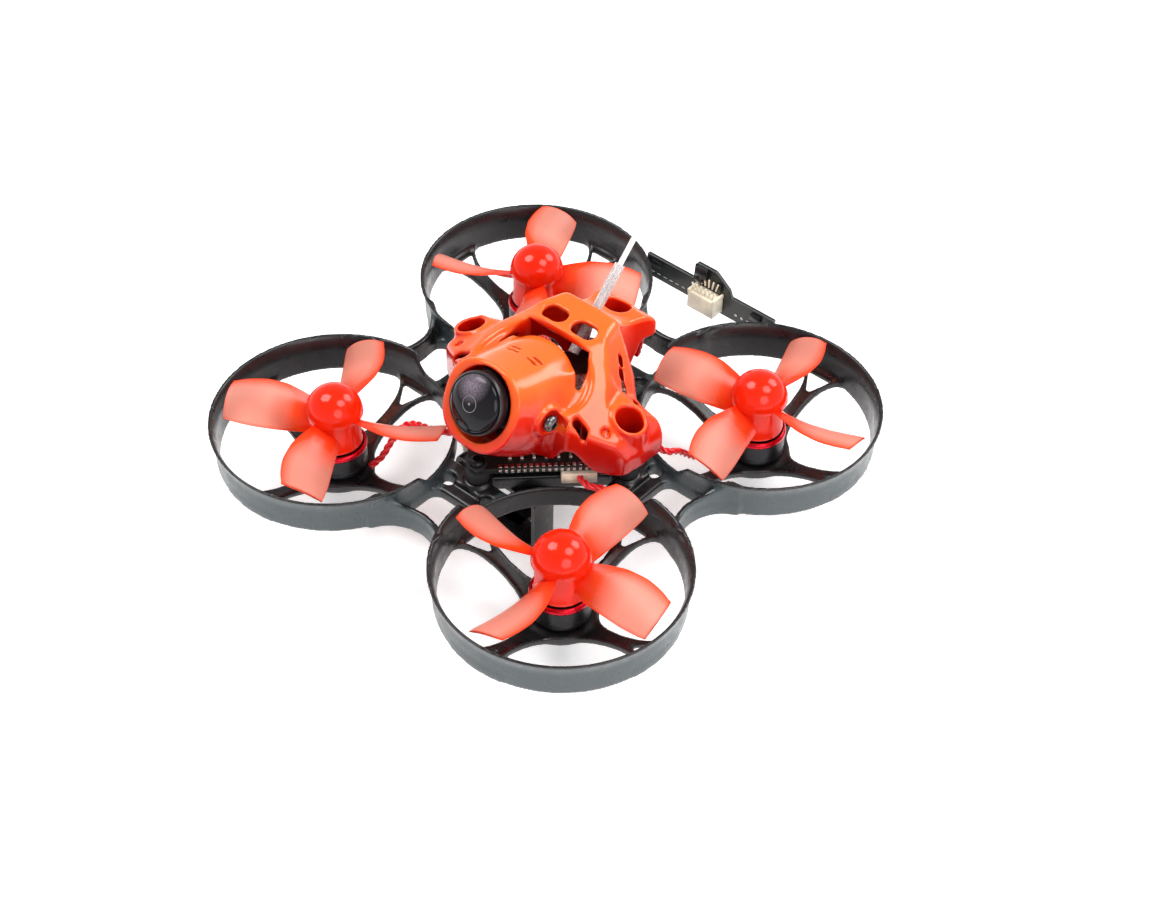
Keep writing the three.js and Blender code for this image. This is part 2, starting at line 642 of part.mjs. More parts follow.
function canopyReach(angle, side, rear, nose, diagonal) {
  const turn = THREE.MathUtils.euclideanModulo(angle + Math.PI / 4, 2 * Math.PI);
  const quarter = Math.floor(turn / (Math.PI / 2));
  const from = (turn % (Math.PI / 2)) - Math.PI / 4;
  const lobe = [side, rear, side, nose][quarter];
  const share = THREE.MathUtils.smoothstep(Math.abs(from), Math.PI / 14, Math.PI / 4);
  const flat = 1 / Math.cos(Math.min(Math.abs(from), Math.PI / 14));
  return THREE.MathUtils.lerp(lobe * flat, diagonal, share);
}

function canopySkin(inset, lowest) {
  const rings = CANOPY_LEVELS.map(([height, middle, ...reaches], row) => {
    const last = row === CANOPY_LEVELS.length - 1;
    const z = DUCT_BOTTOM + height - (last ? inset : 0) - (row === 0 ? lowest : 0);
    const ring = [];
    for (let i = 0; i < CANOPY_COLUMNS; i += 1) {
      const angle = (2 * Math.PI * i) / CANOPY_COLUMNS;
      const reach = canopyReach(angle, ...reaches) - inset;
      ring.push(new THREE.Vector3(reach * Math.cos(angle), middle + reach * Math.sin(angle), z));
    }
    return ring;
  });
  return solid(loft(rings));
}

// The hood over the camera, lofted along the lens axis from a round mouth to a boxy back.
// Each station is its place along the axis, half width, reach above and below, and squareness.
const HOOD_STATIONS = [
  [8.4, 7.7, 7.7, 7.7, 1],
  [3, 8.6, 8.4, 8.0, 0.75],
  [-3.5, 9.2, 7.8, 9.0, 0.7],
  [-8, 7.5, 5.8, 8.0, 0.8],
];
const HOOD_COLUMNS = 20;
const HOOD_WALL = 0.8;

function hoodSkin(inset) {
  const forward = new THREE.Vector3(0, -Math.cos(CAMERA_TILT), Math.sin(CAMERA_TILT));
  const up = new THREE.Vector3(0, Math.sin(CAMERA_TILT), Math.cos(CAMERA_TILT));
  const bulge = (value, power) => Math.sign(value) * Math.abs(value) ** power;
  const rings = HOOD_STATIONS.map(([along, halfWidth, above, below, power], row) => {
    const mouthClearance = row === 0 && inset > 0 ? 1 : 0;
    const middle = PIVOT.clone().addScaledVector(forward, along + mouthClearance);
    const ring = [];
    for (let i = 0; i < HOOD_COLUMNS; i += 1) {
      const angle = (2 * Math.PI * i) / HOOD_COLUMNS;
      const [c, s] = [bulge(Math.cos(angle), power), bulge(Math.sin(angle), power)];
      const reach = (s > 0 ? above : below) - inset;
      const point = middle.clone().addScaledVector(up, reach * s);
      point.x = (halfWidth - inset) * c;
      ring.push(point);
    }
    return ring;
  });
  return solid(loft(rings.reverse()));
}

function buildCanopy() {
  const floor = solid(block(60, 60, 30, 0, 0, CANOPY_BOTTOM - 15));
  const outer = canopySkin(0, 0).add(hoodSkin(0)).subtract(floor);
  const inner = canopySkin(CANOPY_WALL, 2).add(hoodSkin(HOOD_WALL));
  let body = outer.subtract(inner);
  for (const [x, y] of [[POST_DISTANCE, 0], [-POST_DISTANCE, 0], [0, POST_DISTANCE]]) {
    const top = DUCT_BOTTOM + (y > 0 ? 19.6 : 16.6);
    const boss = solid(upright(RECESS_RADIUS + 0.7, CANOPY_BOTTOM, top, 20, x, y)).intersect(outer);
    body = body.add(boss);
    body = body.subtract(solid(upright(RECESS_RADIUS, RECESS_FLOOR, DUCT_BOTTOM + 26, 20, x, y)));
    body = body.subtract(solid(upright(0.95, 0, DUCT_TOP + 10, 10, x, y)));
  }
  for (const sign of [-1, 1]) {
    const pivotHole = new THREE.CylinderGeometry(0.9, 0.9, 6, 10).rotateZ(Math.PI / 2);
    body = body.subtract(solid(pivotHole.translate(sign * 9, PIVOT.y, PIVOT.z)));
    const pivotSeat = new THREE.CylinderGeometry(2.2, 2.2, 6, 12).rotateZ(Math.PI / 2);
    const seatMiddle = CAMERA_SCREW_SEAT - 0.3 + 3;
    body = body.subtract(solid(pivotSeat.translate(sign * seatMiddle, PIVOT.y, PIVOT.z)));
    const vent = block(3.2, 2.6, 12, sign * 13.1, -6.4, DUCT_BOTTOM + 18);
    body = body.subtract(solid(vent));
    const eye = roundedRectangle(2.1, 1.9, 1.7);
    const eyeCut = prism(eye, DUCT_BOTTOM + 19, DUCT_BOTTOM + 40, 3);
    body = body.subtract(solid(eyeCut.translate(sign * 3.1, PLATFORM_Y - 1.2, 0)));
  }
  const slot = roundedRectangle(8.2, 1.4, 1.2);
  body = body.subtract(solid(prism(slot, DUCT_BOTTOM + 17, DUCT_BOTTOM + 40, 3).translate(0, -1.0, 0)));
  const aerialBore = upright(1.9, 6, 40, 12);
  body = body.subtract(solid(aerialBore.applyQuaternion(AERIAL_TURN).translate(...AERIAL_FOOT)));
  addNode('canopy', geometryOf(body), MATERIALS.canopy);
}

// ---------------------------------------------------------------- aerial and rear light board
function buildAerial() {
  const length = AERIAL_SPAN.length();
  const place = (mesh) => {
    mesh.position.set(...AERIAL_FOOT);
    mesh.quaternion.copy(AERIAL_TURN);
  };
  const sleeveEnd = 0.76 * length;
  const sleeve = turned([
    [0.62, 0],
    [0.95, 0],
    [0.95, sleeveEnd],
    [0.62, sleeveEnd],
    [0.62, 0],
  ], 12);
  addNode('aerial_sleeve', sleeve, MATERIALS.antenna, place);
  addNode('aerial_wire', upright(0.5, 0.1, length, 8), MATERIALS.antenna, place);
}

function buildRearBoard() {
  const outline = new THREE.Shape();
  outline.moveTo(-REAR_BOARD_HALF, REAR_BOARD_BOTTOM);
  outline.lineTo(REAR_BOARD_HALF, REAR_BOARD_BOTTOM);
  outline.lineTo(REAR_BOARD_HALF, REAR_BOARD_TOP);
  outline.lineTo(5.2, REAR_BOARD_TOP);
  outline.lineTo(4.6, 8.8);
  outline.lineTo(1.2, REAR_TAB_TOP);
  outline.lineTo(-3.2, REAR_TAB_TOP);
  outline.lineTo(-3.7, 10.8);
  outline.lineTo(-3.9, REAR_BOARD_TOP);
  outline.lineTo(-REAR_BOARD_HALF, REAR_BOARD_TOP);
  outline.closePath();
  const half = REAR_BOARD_THICKNESS / 2;
  const board = prism(outline, -half, half, 2).rotateX(Math.PI / 2);
  addNode('rear_light_board', board, MATERIALS.board, at(0, REAR_BOARD_Y, DUCT_BOTTOM));

  const [socketX, socketHeight] = SOCKET_MIDDLE;
  const socketY = REAR_BOARD_Y - half - 0.05 - SOCKET_SIZE[1] / 2;
  addNode('rear_board_socket', new THREE.BoxGeometry(...SOCKET_SIZE), MATERIALS.connector,
    at(socketX, socketY, DUCT_BOTTOM + socketHeight));
}

// ---------------------------------------------------------------- assembly
for (const corner of CORNERS) {
  buildDuct(corner);
  buildMotor(corner);
  buildPropeller(corner);
}
buildCentreFrame();
buildBatteryTray();
buildFlightBoard();
buildPlugsAndLeads();
buildCamera();
buildCanopy();
buildAerial();
buildRearBoard();

export default model;
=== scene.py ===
"""The look of a palm-sized ducted quadcopter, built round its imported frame.

Lengths in this script are millimetres until a mesh is made, which turns them into metres.
+Z is up, -Y is the nose and +X is the craft's left, as in the frame.
"""

import json
import math

import bpy
import numpy as np
from mathutils import Matrix, Vector


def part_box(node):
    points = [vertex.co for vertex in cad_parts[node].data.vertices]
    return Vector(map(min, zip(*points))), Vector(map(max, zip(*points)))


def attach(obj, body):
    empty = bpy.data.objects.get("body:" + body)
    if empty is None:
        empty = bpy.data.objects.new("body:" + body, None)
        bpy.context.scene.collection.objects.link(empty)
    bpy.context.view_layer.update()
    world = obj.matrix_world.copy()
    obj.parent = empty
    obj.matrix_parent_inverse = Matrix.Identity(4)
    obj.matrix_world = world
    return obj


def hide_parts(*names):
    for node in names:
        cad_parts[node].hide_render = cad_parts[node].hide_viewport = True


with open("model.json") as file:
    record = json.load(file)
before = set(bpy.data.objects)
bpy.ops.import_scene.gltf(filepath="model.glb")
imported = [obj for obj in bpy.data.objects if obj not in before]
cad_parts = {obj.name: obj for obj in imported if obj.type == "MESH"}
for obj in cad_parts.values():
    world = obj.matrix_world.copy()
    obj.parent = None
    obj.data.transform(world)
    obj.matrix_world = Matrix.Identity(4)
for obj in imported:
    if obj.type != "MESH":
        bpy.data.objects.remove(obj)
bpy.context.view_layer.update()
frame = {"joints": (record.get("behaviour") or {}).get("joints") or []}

MM = 0.001


def span(node):
    """Lowest and highest corner of a node of the frame, in millimetres."""
    low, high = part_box(node)
    return low / MM, high / MM


def middle(node):
    low, high = span(node)
    return (low + high) / 2


# ------------------------------------------------------------------ sizes read from the frame
MOTOR = middle("motor_rotor_front_left").x
DUCT_LOW, DUCT_HIGH = span("duct_front_left")
DUCT_TOP = DUCT_HIGH.z
LIP_RADIUS = (DUCT_HIGH.x - DUCT_LOW.x) / 2
DUCT_BOTTOM = span("centre_frame")[0].z
MOUNT_BOTTOM = DUCT_LOW.z
BOARD_LOW, BOARD_HIGH = span("flight_board")
RADIO_LOW, RADIO_HIGH = span("radio_board")
TRAY_LOW, TRAY_HIGH = span("battery_tray")
PROP_LOW, PROP_HIGH = span("propeller_front_left")
POST = middle("stack_screw_left").x
REAR_BOARD_LOW, REAR_BOARD_HIGH = span("rear_light_board")
SOCKET_LOW, SOCKET_HIGH = span("rear_board_socket")
CANOPY_LOW, CANOPY_HIGH = span("canopy")
TILT_JOINT = next(joint for joint in frame["joints"] if joint["name"] == "camera_tilt")
PIVOT = Vector(TILT_JOINT["pos_m"]) / MM

# ------------------------------------------------------------------ sizes chosen here
CAMERA_TILT = math.radians(29)
LENS_FORWARD = Vector((0, -math.cos(CAMERA_TILT), math.sin(CAMERA_TILT)))
LENS_UP = Vector((0, math.sin(CAMERA_TILT), math.cos(CAMERA_TILT)))
LENS_RADIUS = 5.55
LENS_SHIFT = (1.5, 0.5)   # how far the lens stands forward of the frame's, and below it
CAMERA_SCREW_SEAT = 9.5

DUCT_BORE = 20.5
WALL_HALF = 0.4
LOW_WALL_HEIGHT = 4.3
ARC_CENTRE = 40.8   # of the web under each bridge, measured along the bridge
ARC_RADIUS = 9.1
MOUNT_RADIUS = 6.4
MOUNT_THICKNESS = 1.6
MOUNT_TOP = MOUNT_BOTTOM + MOUNT_THICKNESS
SCREW_CIRCLE = 3.3
COILS = 9
LEG_THICKNESS = 1.5
BELL_RADIUS = 5.3
BELL_BOTTOM = MOUNT_TOP + 0.8
BELL_TOP = BELL_BOTTOM + 4.8
HUB_RADIUS = 4.7
HUB_BOTTOM = PROP_LOW.z
DOME_BOTTOM = DUCT_BOTTOM + 8.3
DOME_RADIUS = 5.1
PROP_RADIUS = 19.8
CANOPY_WALL = 0.9
RECESS_RADIUS = 2.4
SCREW_SIDES = 24

FRAME_STEP = 0.32
CANOPY_STEP = 0.26

CORNERS = {
    "front_left": {"x": 1, "y": -1, "hand": 1, "phase": 5},
    "front_right": {"x": -1, "y": -1, "hand": -1, "phase": 28},
    "rear_left": {"x": 1, "y": 1, "hand": -1, "phase": 8},
    "rear_right": {"x": -1, "y": 1, "hand": 1, "phase": 30},
}


# ------------------------------------------------------------------ mesh helpers
def linked(name, data):
    """An object in the scene, from its data."""
    made = bpy.data.objects.new(name, data)
    bpy.context.scene.collection.objects.link(made)
    return made


def dressed(name, mesh, material, smooth=True):
    mesh.validate()
    mesh.materials.append(material)
    if smooth:
        mesh.shade_smooth()
    return linked(name, mesh)


def mesh_object(name, points, faces, material, smooth=True):
    """A piece from points in millimetres."""
    mesh = bpy.data.meshes.new(name)
    mesh.from_pydata((np.asarray(points, dtype=float) * MM).tolist(), [], faces)
    return dressed(name, mesh, material, smooth)


def place(piece, body, slot, *nodes):
    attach(piece, body)
    if nodes:
        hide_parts(*nodes)
    return piece


CREASE = 35


def sharpen(piece, degrees):
    """Keep creases crisp where two faces meet at more than this angle."""
    piece.data.set_sharp_from_angle(angle=math.radians(degrees))


class Shape:
    """Closed skins gathered into one mesh."""

    def __init__(self):
        self.points = []
        self.faces = []

    def rings(self, rings, closed=False):
        """A skin over rings of equally many points, capped unless the rings close on themselves."""
        start = len(self.points)
        count = len(rings[0])
        for ring in rings:
            self.points.extend([tuple(point) for point in ring])
        rows = len(rings)
        for row in range(rows if closed else rows - 1):
            a = start + row * count
            b = start + ((row + 1) % rows) * count
            for i in range(count):
                j = (i + 1) % count
                self.faces.append((a + i, a + j, b + j, b + i))
        if not closed:
            self.faces.append(tuple(range(start + count - 1, start - 1, -1)))
            self.faces.append(tuple(range(start + (rows - 1) * count, start + rows * count)))

    def moved(self, matrix, first=0):
        """Put the points from first onwards through a matrix."""
        for i in range(first, len(self.points)):
            self.points[i] = tuple(matrix @ Vector(self.points[i]))

    def build(self, name, material, smooth=True):
        return mesh_object(name, self.points, self.faces, material, smooth)

    def finish(self, name, material, body, slot, *nodes, crease=None):
        """Build the piece, keep its creases if asked, and set it on its body."""
        piece = self.build(name, material)
        if crease:
            sharpen(piece, crease)
        return place(piece, body, slot, *nodes)


def circle(radius, height, sides, wave=None):
    """A ring round Z; wave makes the radius a function of the angle."""
    ring = []
    for i in range(sides):
        angle = 2 * math.pi * i / sides
        reach = radius * (wave(angle) if wave else 1)
        ring.append((reach * math.cos(angle), reach * math.sin(angle), height))
    return ring


def turned(profile, sides):
    """Rings of a body turned round Z, from (radius, height) pairs."""
    return [circle(max(radius, 1e-3), height, sides) for radius, height in profile]


def screw_rings(outside, recess, driver):
    """A screw turned round Z, with a driver's recess in its head."""
    sockets = [circle(radius, height, SCREW_SIDES, driver) for radius, height in recess]
    return turned(outside, SCREW_SIDES) + sockets


def turned_piece(name, material, body, slot, profile, sides, there, *nodes, closed=True, crease=None):
    """A piece turned round Z and then put in its place."""
    shape = Shape()
    shape.rings(turned(profile, sides), closed)
    shape.moved(there)
    return shape.finish(name, material, body, slot, *nodes, crease=crease)


def dome_profile(radius, bottom, rise, fullness, steps):
    """Profile of a dome; a fullness below 1 makes its shoulder squarer."""
    profile = []
    for i in range(steps + 1):
        angle = i / steps * math.pi / 2
        profile.append((radius * math.cos(angle) ** fullness, bottom + rise * math.sin(angle)))
    return profile


def hexagon(angle):
    """A hexagon socket, as a share of the radius to its corners."""
    return math.cos(math.pi / 6) / math.cos((angle % (math.pi / 3)) - math.pi / 6)


def cross(angle):
    """A cross recess: long along two lines, short between them."""
    return 1 - 0.62 * abs(math.sin(2 * angle)) ** 0.5


def rounded_corners(half_x, half_y, reach, steps):
    """A rectangle with round corners, from the places of the corners' centres."""
    ring = []
    for sx, sy, start in [(1, 1, 0), (-1, 1, 1), (-1, -1, 2), (1, -1, 3)]:
        for i in range(steps):
            angle = (start + i / (steps - 1)) * math.pi / 2
            ring.append((sx * half_x + reach * math.cos(angle), sy * half_y + reach * math.sin(angle)))
    return ring


def block_rings(size, bevel):
    """Rings of a block with soft edges, centred on the origin."""
    half = [length / 2 for length in size]
    rings = []
    for height, reach in [(-half[2], 0.3 * bevel), (-half[2] + bevel, bevel),
                          (half[2] - bevel, bevel), (half[2], 0.3 * bevel)]:
        corners = rounded_corners(half[0] - bevel, half[1] - bevel, reach, 3)
        rings.append([(x, y, height) for x, y in corners])
    return rings


def soft_block(shape, size, centre, bevel):
    first = len(shape.points)
    shape.rings(block_rings(size, bevel))
    shape.moved(Matrix.Translation(Vector(centre)), first)


def upright_to(line):
    """The turn from +Z to another line."""
    return Vector((0, 0, 1)).rotation_difference(line).to_matrix().to_4x4()


def curve_points(knots, count):
    """Points evenly spread along a smooth curve through the knots (Catmull-Rom)."""
    knots = [Vector(knot) for knot in knots]
    ends = [2 * knots[0] - knots[1]] + knots + [2 * knots[-1] - knots[-2]]
    points = []
    for i in range(count):
        place_on = i / (count - 1) * (len(knots) - 1)
        k = min(int(place_on), len(knots) - 2)
        t = place_on - k
        a, b, c, d = ends[k:k + 4]
        points.append(0.5 * (2 * b + (c - a) * t + (2 * a - 5 * b + 4 * c - d) * t * t
                             + (3 * b - a - 3 * c + d) * t ** 3))
    return points


def tube_rings(points, radius, sides, offset=None):
    """Rings along a line; offset(i) moves each ring sideways, as (across, up) in its own plane."""
    rings = []
    side = None
    for i, point in enumerate(points):
        ahead = points[min(i + 1, len(points) - 1)] - points[max(i - 1, 0)]
        ahead.normalize()
        side = Vector((0, 0, 1)).cross(ahead) if side is None else side - side.dot(ahead) * ahead
        side.normalize()
        up = ahead.cross(side)
        across, rise = offset(i) if offset else (0, 0)
        centre = point + across * side + rise * up
        ring = []
        for k in range(sides):
            angle = 2 * math.pi * k / sides
            ring.append(centre + radius * (math.cos(angle) * side + math.sin(angle) * up))
        rings.append(ring)
    return rings


# ------------------------------------------------------------------ distance fields
# A moulded piece is described by a field that is negative inside it. Fields are joined and cut
# with a small blend, which leaves the fillets that a mould leaves.
def join(a, b, blend):
    """What is inside either of two forms."""
    share = np.clip(0.5 + 0.5 * (b - a) / blend, 0, 1)
    return b + (a - b) * share - blend * share * (1 - share)


def cut(a, b, blend):
    """What is inside the first form and outside the second."""
    return -join(-a, b, blend)


def both(a, b, blend):
    """What is inside both forms."""
    return -join(-a, -b, blend)


def read_table(value, table, column):
    """A value read in straight steps from a short table whose first column is the place."""
    places = [row[0] for row in table]
    return np.interp(value, places, [row[column] for row in table])


def soft_steps(value, table, column, reach):
    """As read_table, but with each corner of the line rounded over a reach."""
    total = 0
    for shift in (-1, -0.5, 0, 0.5, 1):
        total = total + read_table(value + shift * reach, table, column)
    return total / 5


def rounded_box(x, y, half_x, half_y, radius):
    qx = np.abs(x) - half_x + radius
    qy = np.abs(y) - half_y + radius
    outside = np.hypot(np.maximum(qx, 0), np.maximum(qy, 0))
    return outside + np.minimum(np.maximum(qx, qy), 0) - radius


CELL_CORNERS = [(i, j, k) for i in (0, 1) for j in (0, 1) for k in (0, 1)]
CELL_EDGES = [(a, b) for a in range(8) for b in range(a + 1, 8)
              if sum(abs(p - q) for p, q in zip(CELL_CORNERS[a], CELL_CORNERS[b])) == 1]


def skin_of(field, origin, step):
    """Points and quads where a field is zero: one point in each cell that the skin crosses."""
    shape = [length - 1 for length in field.shape]
    view = [field[i:i + shape[0], j:j + shape[1], k:k + shape[2]] for i, j, k in CELL_CORNERS]
    inside = sum((v < 0).astype(np.int8) for v in view)
    cells = np.argwhere((inside > 0) & (inside < 8))
    at = tuple(cells.T)
    values = np.stack([v[at] for v in view], axis=1)
    total = np.zeros((len(cells), 3))
    crossings = np.zeros(len(cells))
    for a, b in CELL_EDGES:
        fa, fb = values[:, a], values[:, b]
        crosses = (fa < 0) != (fb < 0)
        share = np.where(crosses, fa / np.where(crosses, fa - fb, 1), 0)
        spot = np.array(CELL_CORNERS[a]) + share[:, None] * (
            np.array(CELL_CORNERS[b]) - np.array(CELL_CORNERS[a]))
        total += np.where(crosses[:, None], spot, 0)
        crossings += crosses
    points = np.array(origin) + step * (cells + total / crossings[:, None])
    number = np.full(shape, -1, dtype=np.int64)
    number[at] = np.arange(len(cells))
    quads = []
    for axis in range(3):
        quads.append(quads_across(field < 0, number, axis))
    return points, np.concatenate(quads)


def quads_across(solid, number, axis):
    """The quads round every grid edge along one axis whose two ends lie on different sides."""
    u, v = [other for other in range(3) if other != axis]
    low = [slice(1, -1)] * 3
    high = [slice(1, -1)] * 3
    low[axis] = slice(0, -1)
    high[axis] = slice(1, None)
    first, second = solid[tuple(low)], solid[tuple(high)]
    edges = np.argwhere(first != second)
    leaving = first[tuple(edges.T)]
    cell = edges.copy()
    cell[:, u] += 1
    cell[:, v] += 1
    ring = []
    for du, dv in [(-1, -1), (0, -1), (0, 0), (-1, 0)]:
        spot = cell.copy()
        spot[:, u] += du
        spot[:, v] += dv
        ring.append(number[tuple(spot.T)])
    quads = np.stack(ring, axis=1)
    forwards = leaving if axis != 1 else ~leaving
    return np.where(forwards[:, None], quads, quads[:, ::-1])


def vertex_places(piece):
    """Each vertex's place in millimetres, and the way it faces."""
    spots = np.empty(len(piece.data.vertices) * 3)
    facing = np.empty_like(spots)
    piece.data.vertices.foreach_get("co", spots)
    piece.data.vertex_normals.foreach_get("vector", facing)
    return spots.reshape(-1, 3) / MM, facing.reshape(-1, 3)


def mark(piece, name, values):
    """Store a number on each vertex, for the piece's material to read."""
    layer = piece.data.attributes.new(name, "FLOAT", "POINT")
    layer.data.foreach_set("value", values)


def field_object(name, field, origin, step, material):
    points, quads = skin_of(field, origin, step)
    mesh = bpy.data.meshes.new(name)
    mesh.vertices.add(len(points))
    mesh.vertices.foreach_set("co", (points * MM).ravel())
    mesh.loops.add(quads.size)
    mesh.loops.foreach_set("vertex_index", quads.ravel())
    mesh.polygons.add(len(quads))
    mesh.polygons.foreach_set("loop_start", np.arange(0, quads.size, 4))
    mesh.update(calc_edges=True)
    return dressed(name, mesh, material)


# ------------------------------------------------------------------ materials
def material(name, color, roughness, **inputs):
    """A Principled material; what is the same all over is set on the shader's own sockets."""
    result = bpy.data.materials.new(name)
    result.use_nodes = True
    shader = result.node_tree.nodes["Principled BSDF"]
    shader.inputs["Base Color"].default_value = (*color, 1)
    shader.inputs["Roughness"].default_value = roughness
    for socket, value in inputs.items():
        shader.inputs[socket.replace("_", " ")].default_value = value
    return result


def node(result, kind, **settings):
    made = result.node_tree.nodes.new(kind)
    for key, value in settings.items():
        setattr(made, key, value)
    return made


def drive(result, socket, value):
    """Feed one of the shader's sockets from a node."""
    result.node_tree.links.new(value, result.node_tree.nodes["Principled BSDF"].inputs[socket])


def attribute(result, name):
    return node(result, "ShaderNodeAttribute", attribute_name=name).outputs["Fac"]


def object_place(result):
    return node(result, "ShaderNodeTexCoord").outputs["Object"]


def noise_in(result, scale, detail=2.0):
    """Noise in object space; scale is per millimetre."""
    noise = node(result, "ShaderNodeTexNoise")
    noise.inputs["Scale"].default_value = scale / MM
    noise.inputs["Detail"].default_value = detail
    result.node_tree.links.new(object_place(result), noise.inputs["Vector"])
    return noise.outputs["Fac"]


def ramp_from(result, value, *stops):
    """A colour that follows a value; each stop is a position and a colour."""
    ramp = node(result, "ShaderNodeValToRGB")
    elements = ramp.color_ramp.elements
    for element, (position, color) in zip(elements, (stops[0], stops[-1])):
        element.position = position
        element.color = (*color, 1)
    for position, color in stops[1:-1]:
        elements.new(position).color = (*color, 1)
    result.node_tree.links.new(value, ramp.inputs["Fac"])
    return ramp.outputs["Color"]


def span_from(result, value, low, high, start=0, end=1):
    """A value brought from start..end to low..high."""
    made = node(result, "ShaderNodeMapRange")
    for socket, number in (("From Min", start), ("From Max", end), ("To Min", low), ("To Max", high)):
        made.inputs[socket].default_value = number
    result.node_tree.links.new(value, made.inputs["Value"])
    return made.outputs["Result"]


def maths(result, operation, *values):
    """A Math node, each of whose inputs is a number or another node's output."""
    made = node(result, "ShaderNodeMath", operation=operation)
    for socket, value in zip(made.inputs, values):
        if isinstance(value, float):
            socket.default_value = value
        else:
            result.node_tree.links.new(value, socket)
    return made.outputs["Value"]


def grain(result, scale, strength, distance, detail=3.0):
    """Fine unevenness of a moulded or painted surface."""
    bump = node(result, "ShaderNodeBump")
    bump.inputs["Strength"].default_value = strength
    bump.inputs["Distance"].default_value = distance * MM
    result.node_tree.links.new(noise_in(result, scale, detail), bump.inputs["Height"])
    drive(result, "Normal", bump.outputs["Normal"])


def mottle(result, scale, low, high, socket="Base Color"):
    """A slow variation of colour, or of roughness, between two values."""
    drive(result, socket, ramp_from(result, noise_in(result, scale), (0.35, low), (0.65, high)))


def grey(value):
    return (value, value, value)


def frame_material():
    """Black moulded plastic; its outer walls carry painted light, a paler satin slate as if lit by the
    bright floor.
    """
    black = (0.006, 0.006, 0.007)
    result = material("frame_plastic", black, 0.3)
    uneven_painted_light = maths(result, "MULTIPLY_ADD", noise_in(result, 0.25), 0.3, 0.78)
    painted_light = maths(result, "MULTIPLY", uneven_painted_light, attribute(result, "painted_floor_light"))
    # Outer walls get a paler slate as painted light from the floor; the rest stays black.
    drive(result, "Base Color", ramp_from(result, painted_light, (0, black), (1, (0.05, 0.066, 0.07))))
    mottle(result, 0.6, grey(0.26), grey(0.38), "Roughness")
    grain(result, 9, 0.05, 0.02)
    return result


def propeller_material():
    """Clear red plastic: light that crosses more of it leaves redder, so the hub is deep red."""
    result = material("propeller_plastic", (0.95, 0.03, 0.02), 0.2, IOR=1.42, Specular_IOR_Level=0.35)
    thin = attribute(result, "thinness")
    drive(result, "Base Color", ramp_from(result, thin, (0, (1.0, 0.022, 0.003)),
                                          (0.4, (1.0, 0.075, 0.012)), (1, (1.0, 0.42, 0.31))))
    drive(result, "Transmission Weight", span_from(result, thin, 0.2, 0.6))
    drive(result, "Roughness", span_from(result, thin, 0.14, 0.42))
    depth = node(result, "ShaderNodeVolumeAbsorption")
    depth.inputs["Color"].default_value = (1.0, 0.3, 0.12, 1)
    depth.inputs["Density"].default_value = 700
    output = result.node_tree.nodes["Material Output"]
    result.node_tree.links.new(depth.outputs["Volume"], output.inputs["Volume"])
    grain(result, 0.7, 0.03, 0.05, 1.0)
    return result


def canopy_material():
    """Dyed clear plastic with painted light and shade: orange where it faces the sky and high up, painted
    shade of deep red low down, on faces that look down and inside.
    """
    result = material("canopy_plastic", (0.95, 0.09, 0.006), 0.16, IOR=1.45, Specular_IOR_Level=0.5,
                      Transmission_Weight=0.2, Subsurface_Weight=0.25, Subsurface_Scale=0.0018,
                      Subsurface_Radius=(1.0, 0.22, 0.06))
    uneven_painted_light = maths(result, "MULTIPLY_ADD", noise_in(result, 0.12), 0.35, attribute(result, "painted_light_and_shade"))
    # Deep red stands for painted shade, orange for painted light.
    drive(result, "Base Color", ramp_from(
        result, uneven_painted_light, (0.2, (0.5, 0.002, 0.001)), (0.5, (0.85, 0.018, 0.002)),
        (0.75, (0.96, 0.085, 0.006)), (1.0, (0.98, 0.17, 0.02))))
    grain(result, 0.35, 0.05, 0.12, 1.5)
    return result


def metal(name, color, roughness, metallic=1.0):
    result = material(name, color, roughness, Metallic=metallic)
    mottle(result, 1.2, grey(roughness * 0.8), grey(roughness * 1.25), "Roughness")
    grain(result, 14, 0.05, 0.01)
    return result


def plain(name, color, roughness, **inputs):
    result = material(name, color, roughness, **inputs)
    low = tuple(channel * 0.85 for channel in color)
    high = tuple(min(channel * 1.12, 1) for channel in color)
    mottle(result, 0.4, low, high)
    grain(result, 12, 0.05, 0.015)
    return result


def glass_material():
    """The front element: almost black, with a faint speckled violet painted reflection high on the dome.
    """
    result = material("lens_glass_painted_reflection", (0.01, 0.009, 0.012), 0.08, IOR=1.33,
                      Specular_IOR_Level=0.4)
    # Where the painted reflection of a lamp sits on the dome.
    painted_light = PIVOT + 9.8 * LENS_FORWARD + 2.6 * LENS_UP + Vector((-1.0, 0, 0))
    away = node(result, "ShaderNodeVectorMath", operation="DISTANCE")
    away.inputs[1].default_value = painted_light * MM
    result.node_tree.links.new(object_place(result), away.inputs[0])
    fade = span_from(result, away.outputs["Value"], 1, 0, 0.6 * MM, 3.4 * MM)
    speckled = maths(result, "MULTIPLY", fade, noise_in(result, 3.2))
    drive(result, "Base Color", ramp_from(result, speckled, (0, (0.009, 0.008, 0.010)),
                                          (1, (0.34, 0.27, 0.33))))
    return result


def sleeve_material():
    """Clear tubing, a little uneven in its gloss."""
    result = material("aerial_sleeve_clear", (0.96, 0.92, 0.92), 0.12,
                      Transmission_Weight=0.75, IOR=1.45)
    mottle(result, 0.8, grey(0.1), grey(0.16), "Roughness")
    grain(result, 6, 0.04, 0.01)
    return result


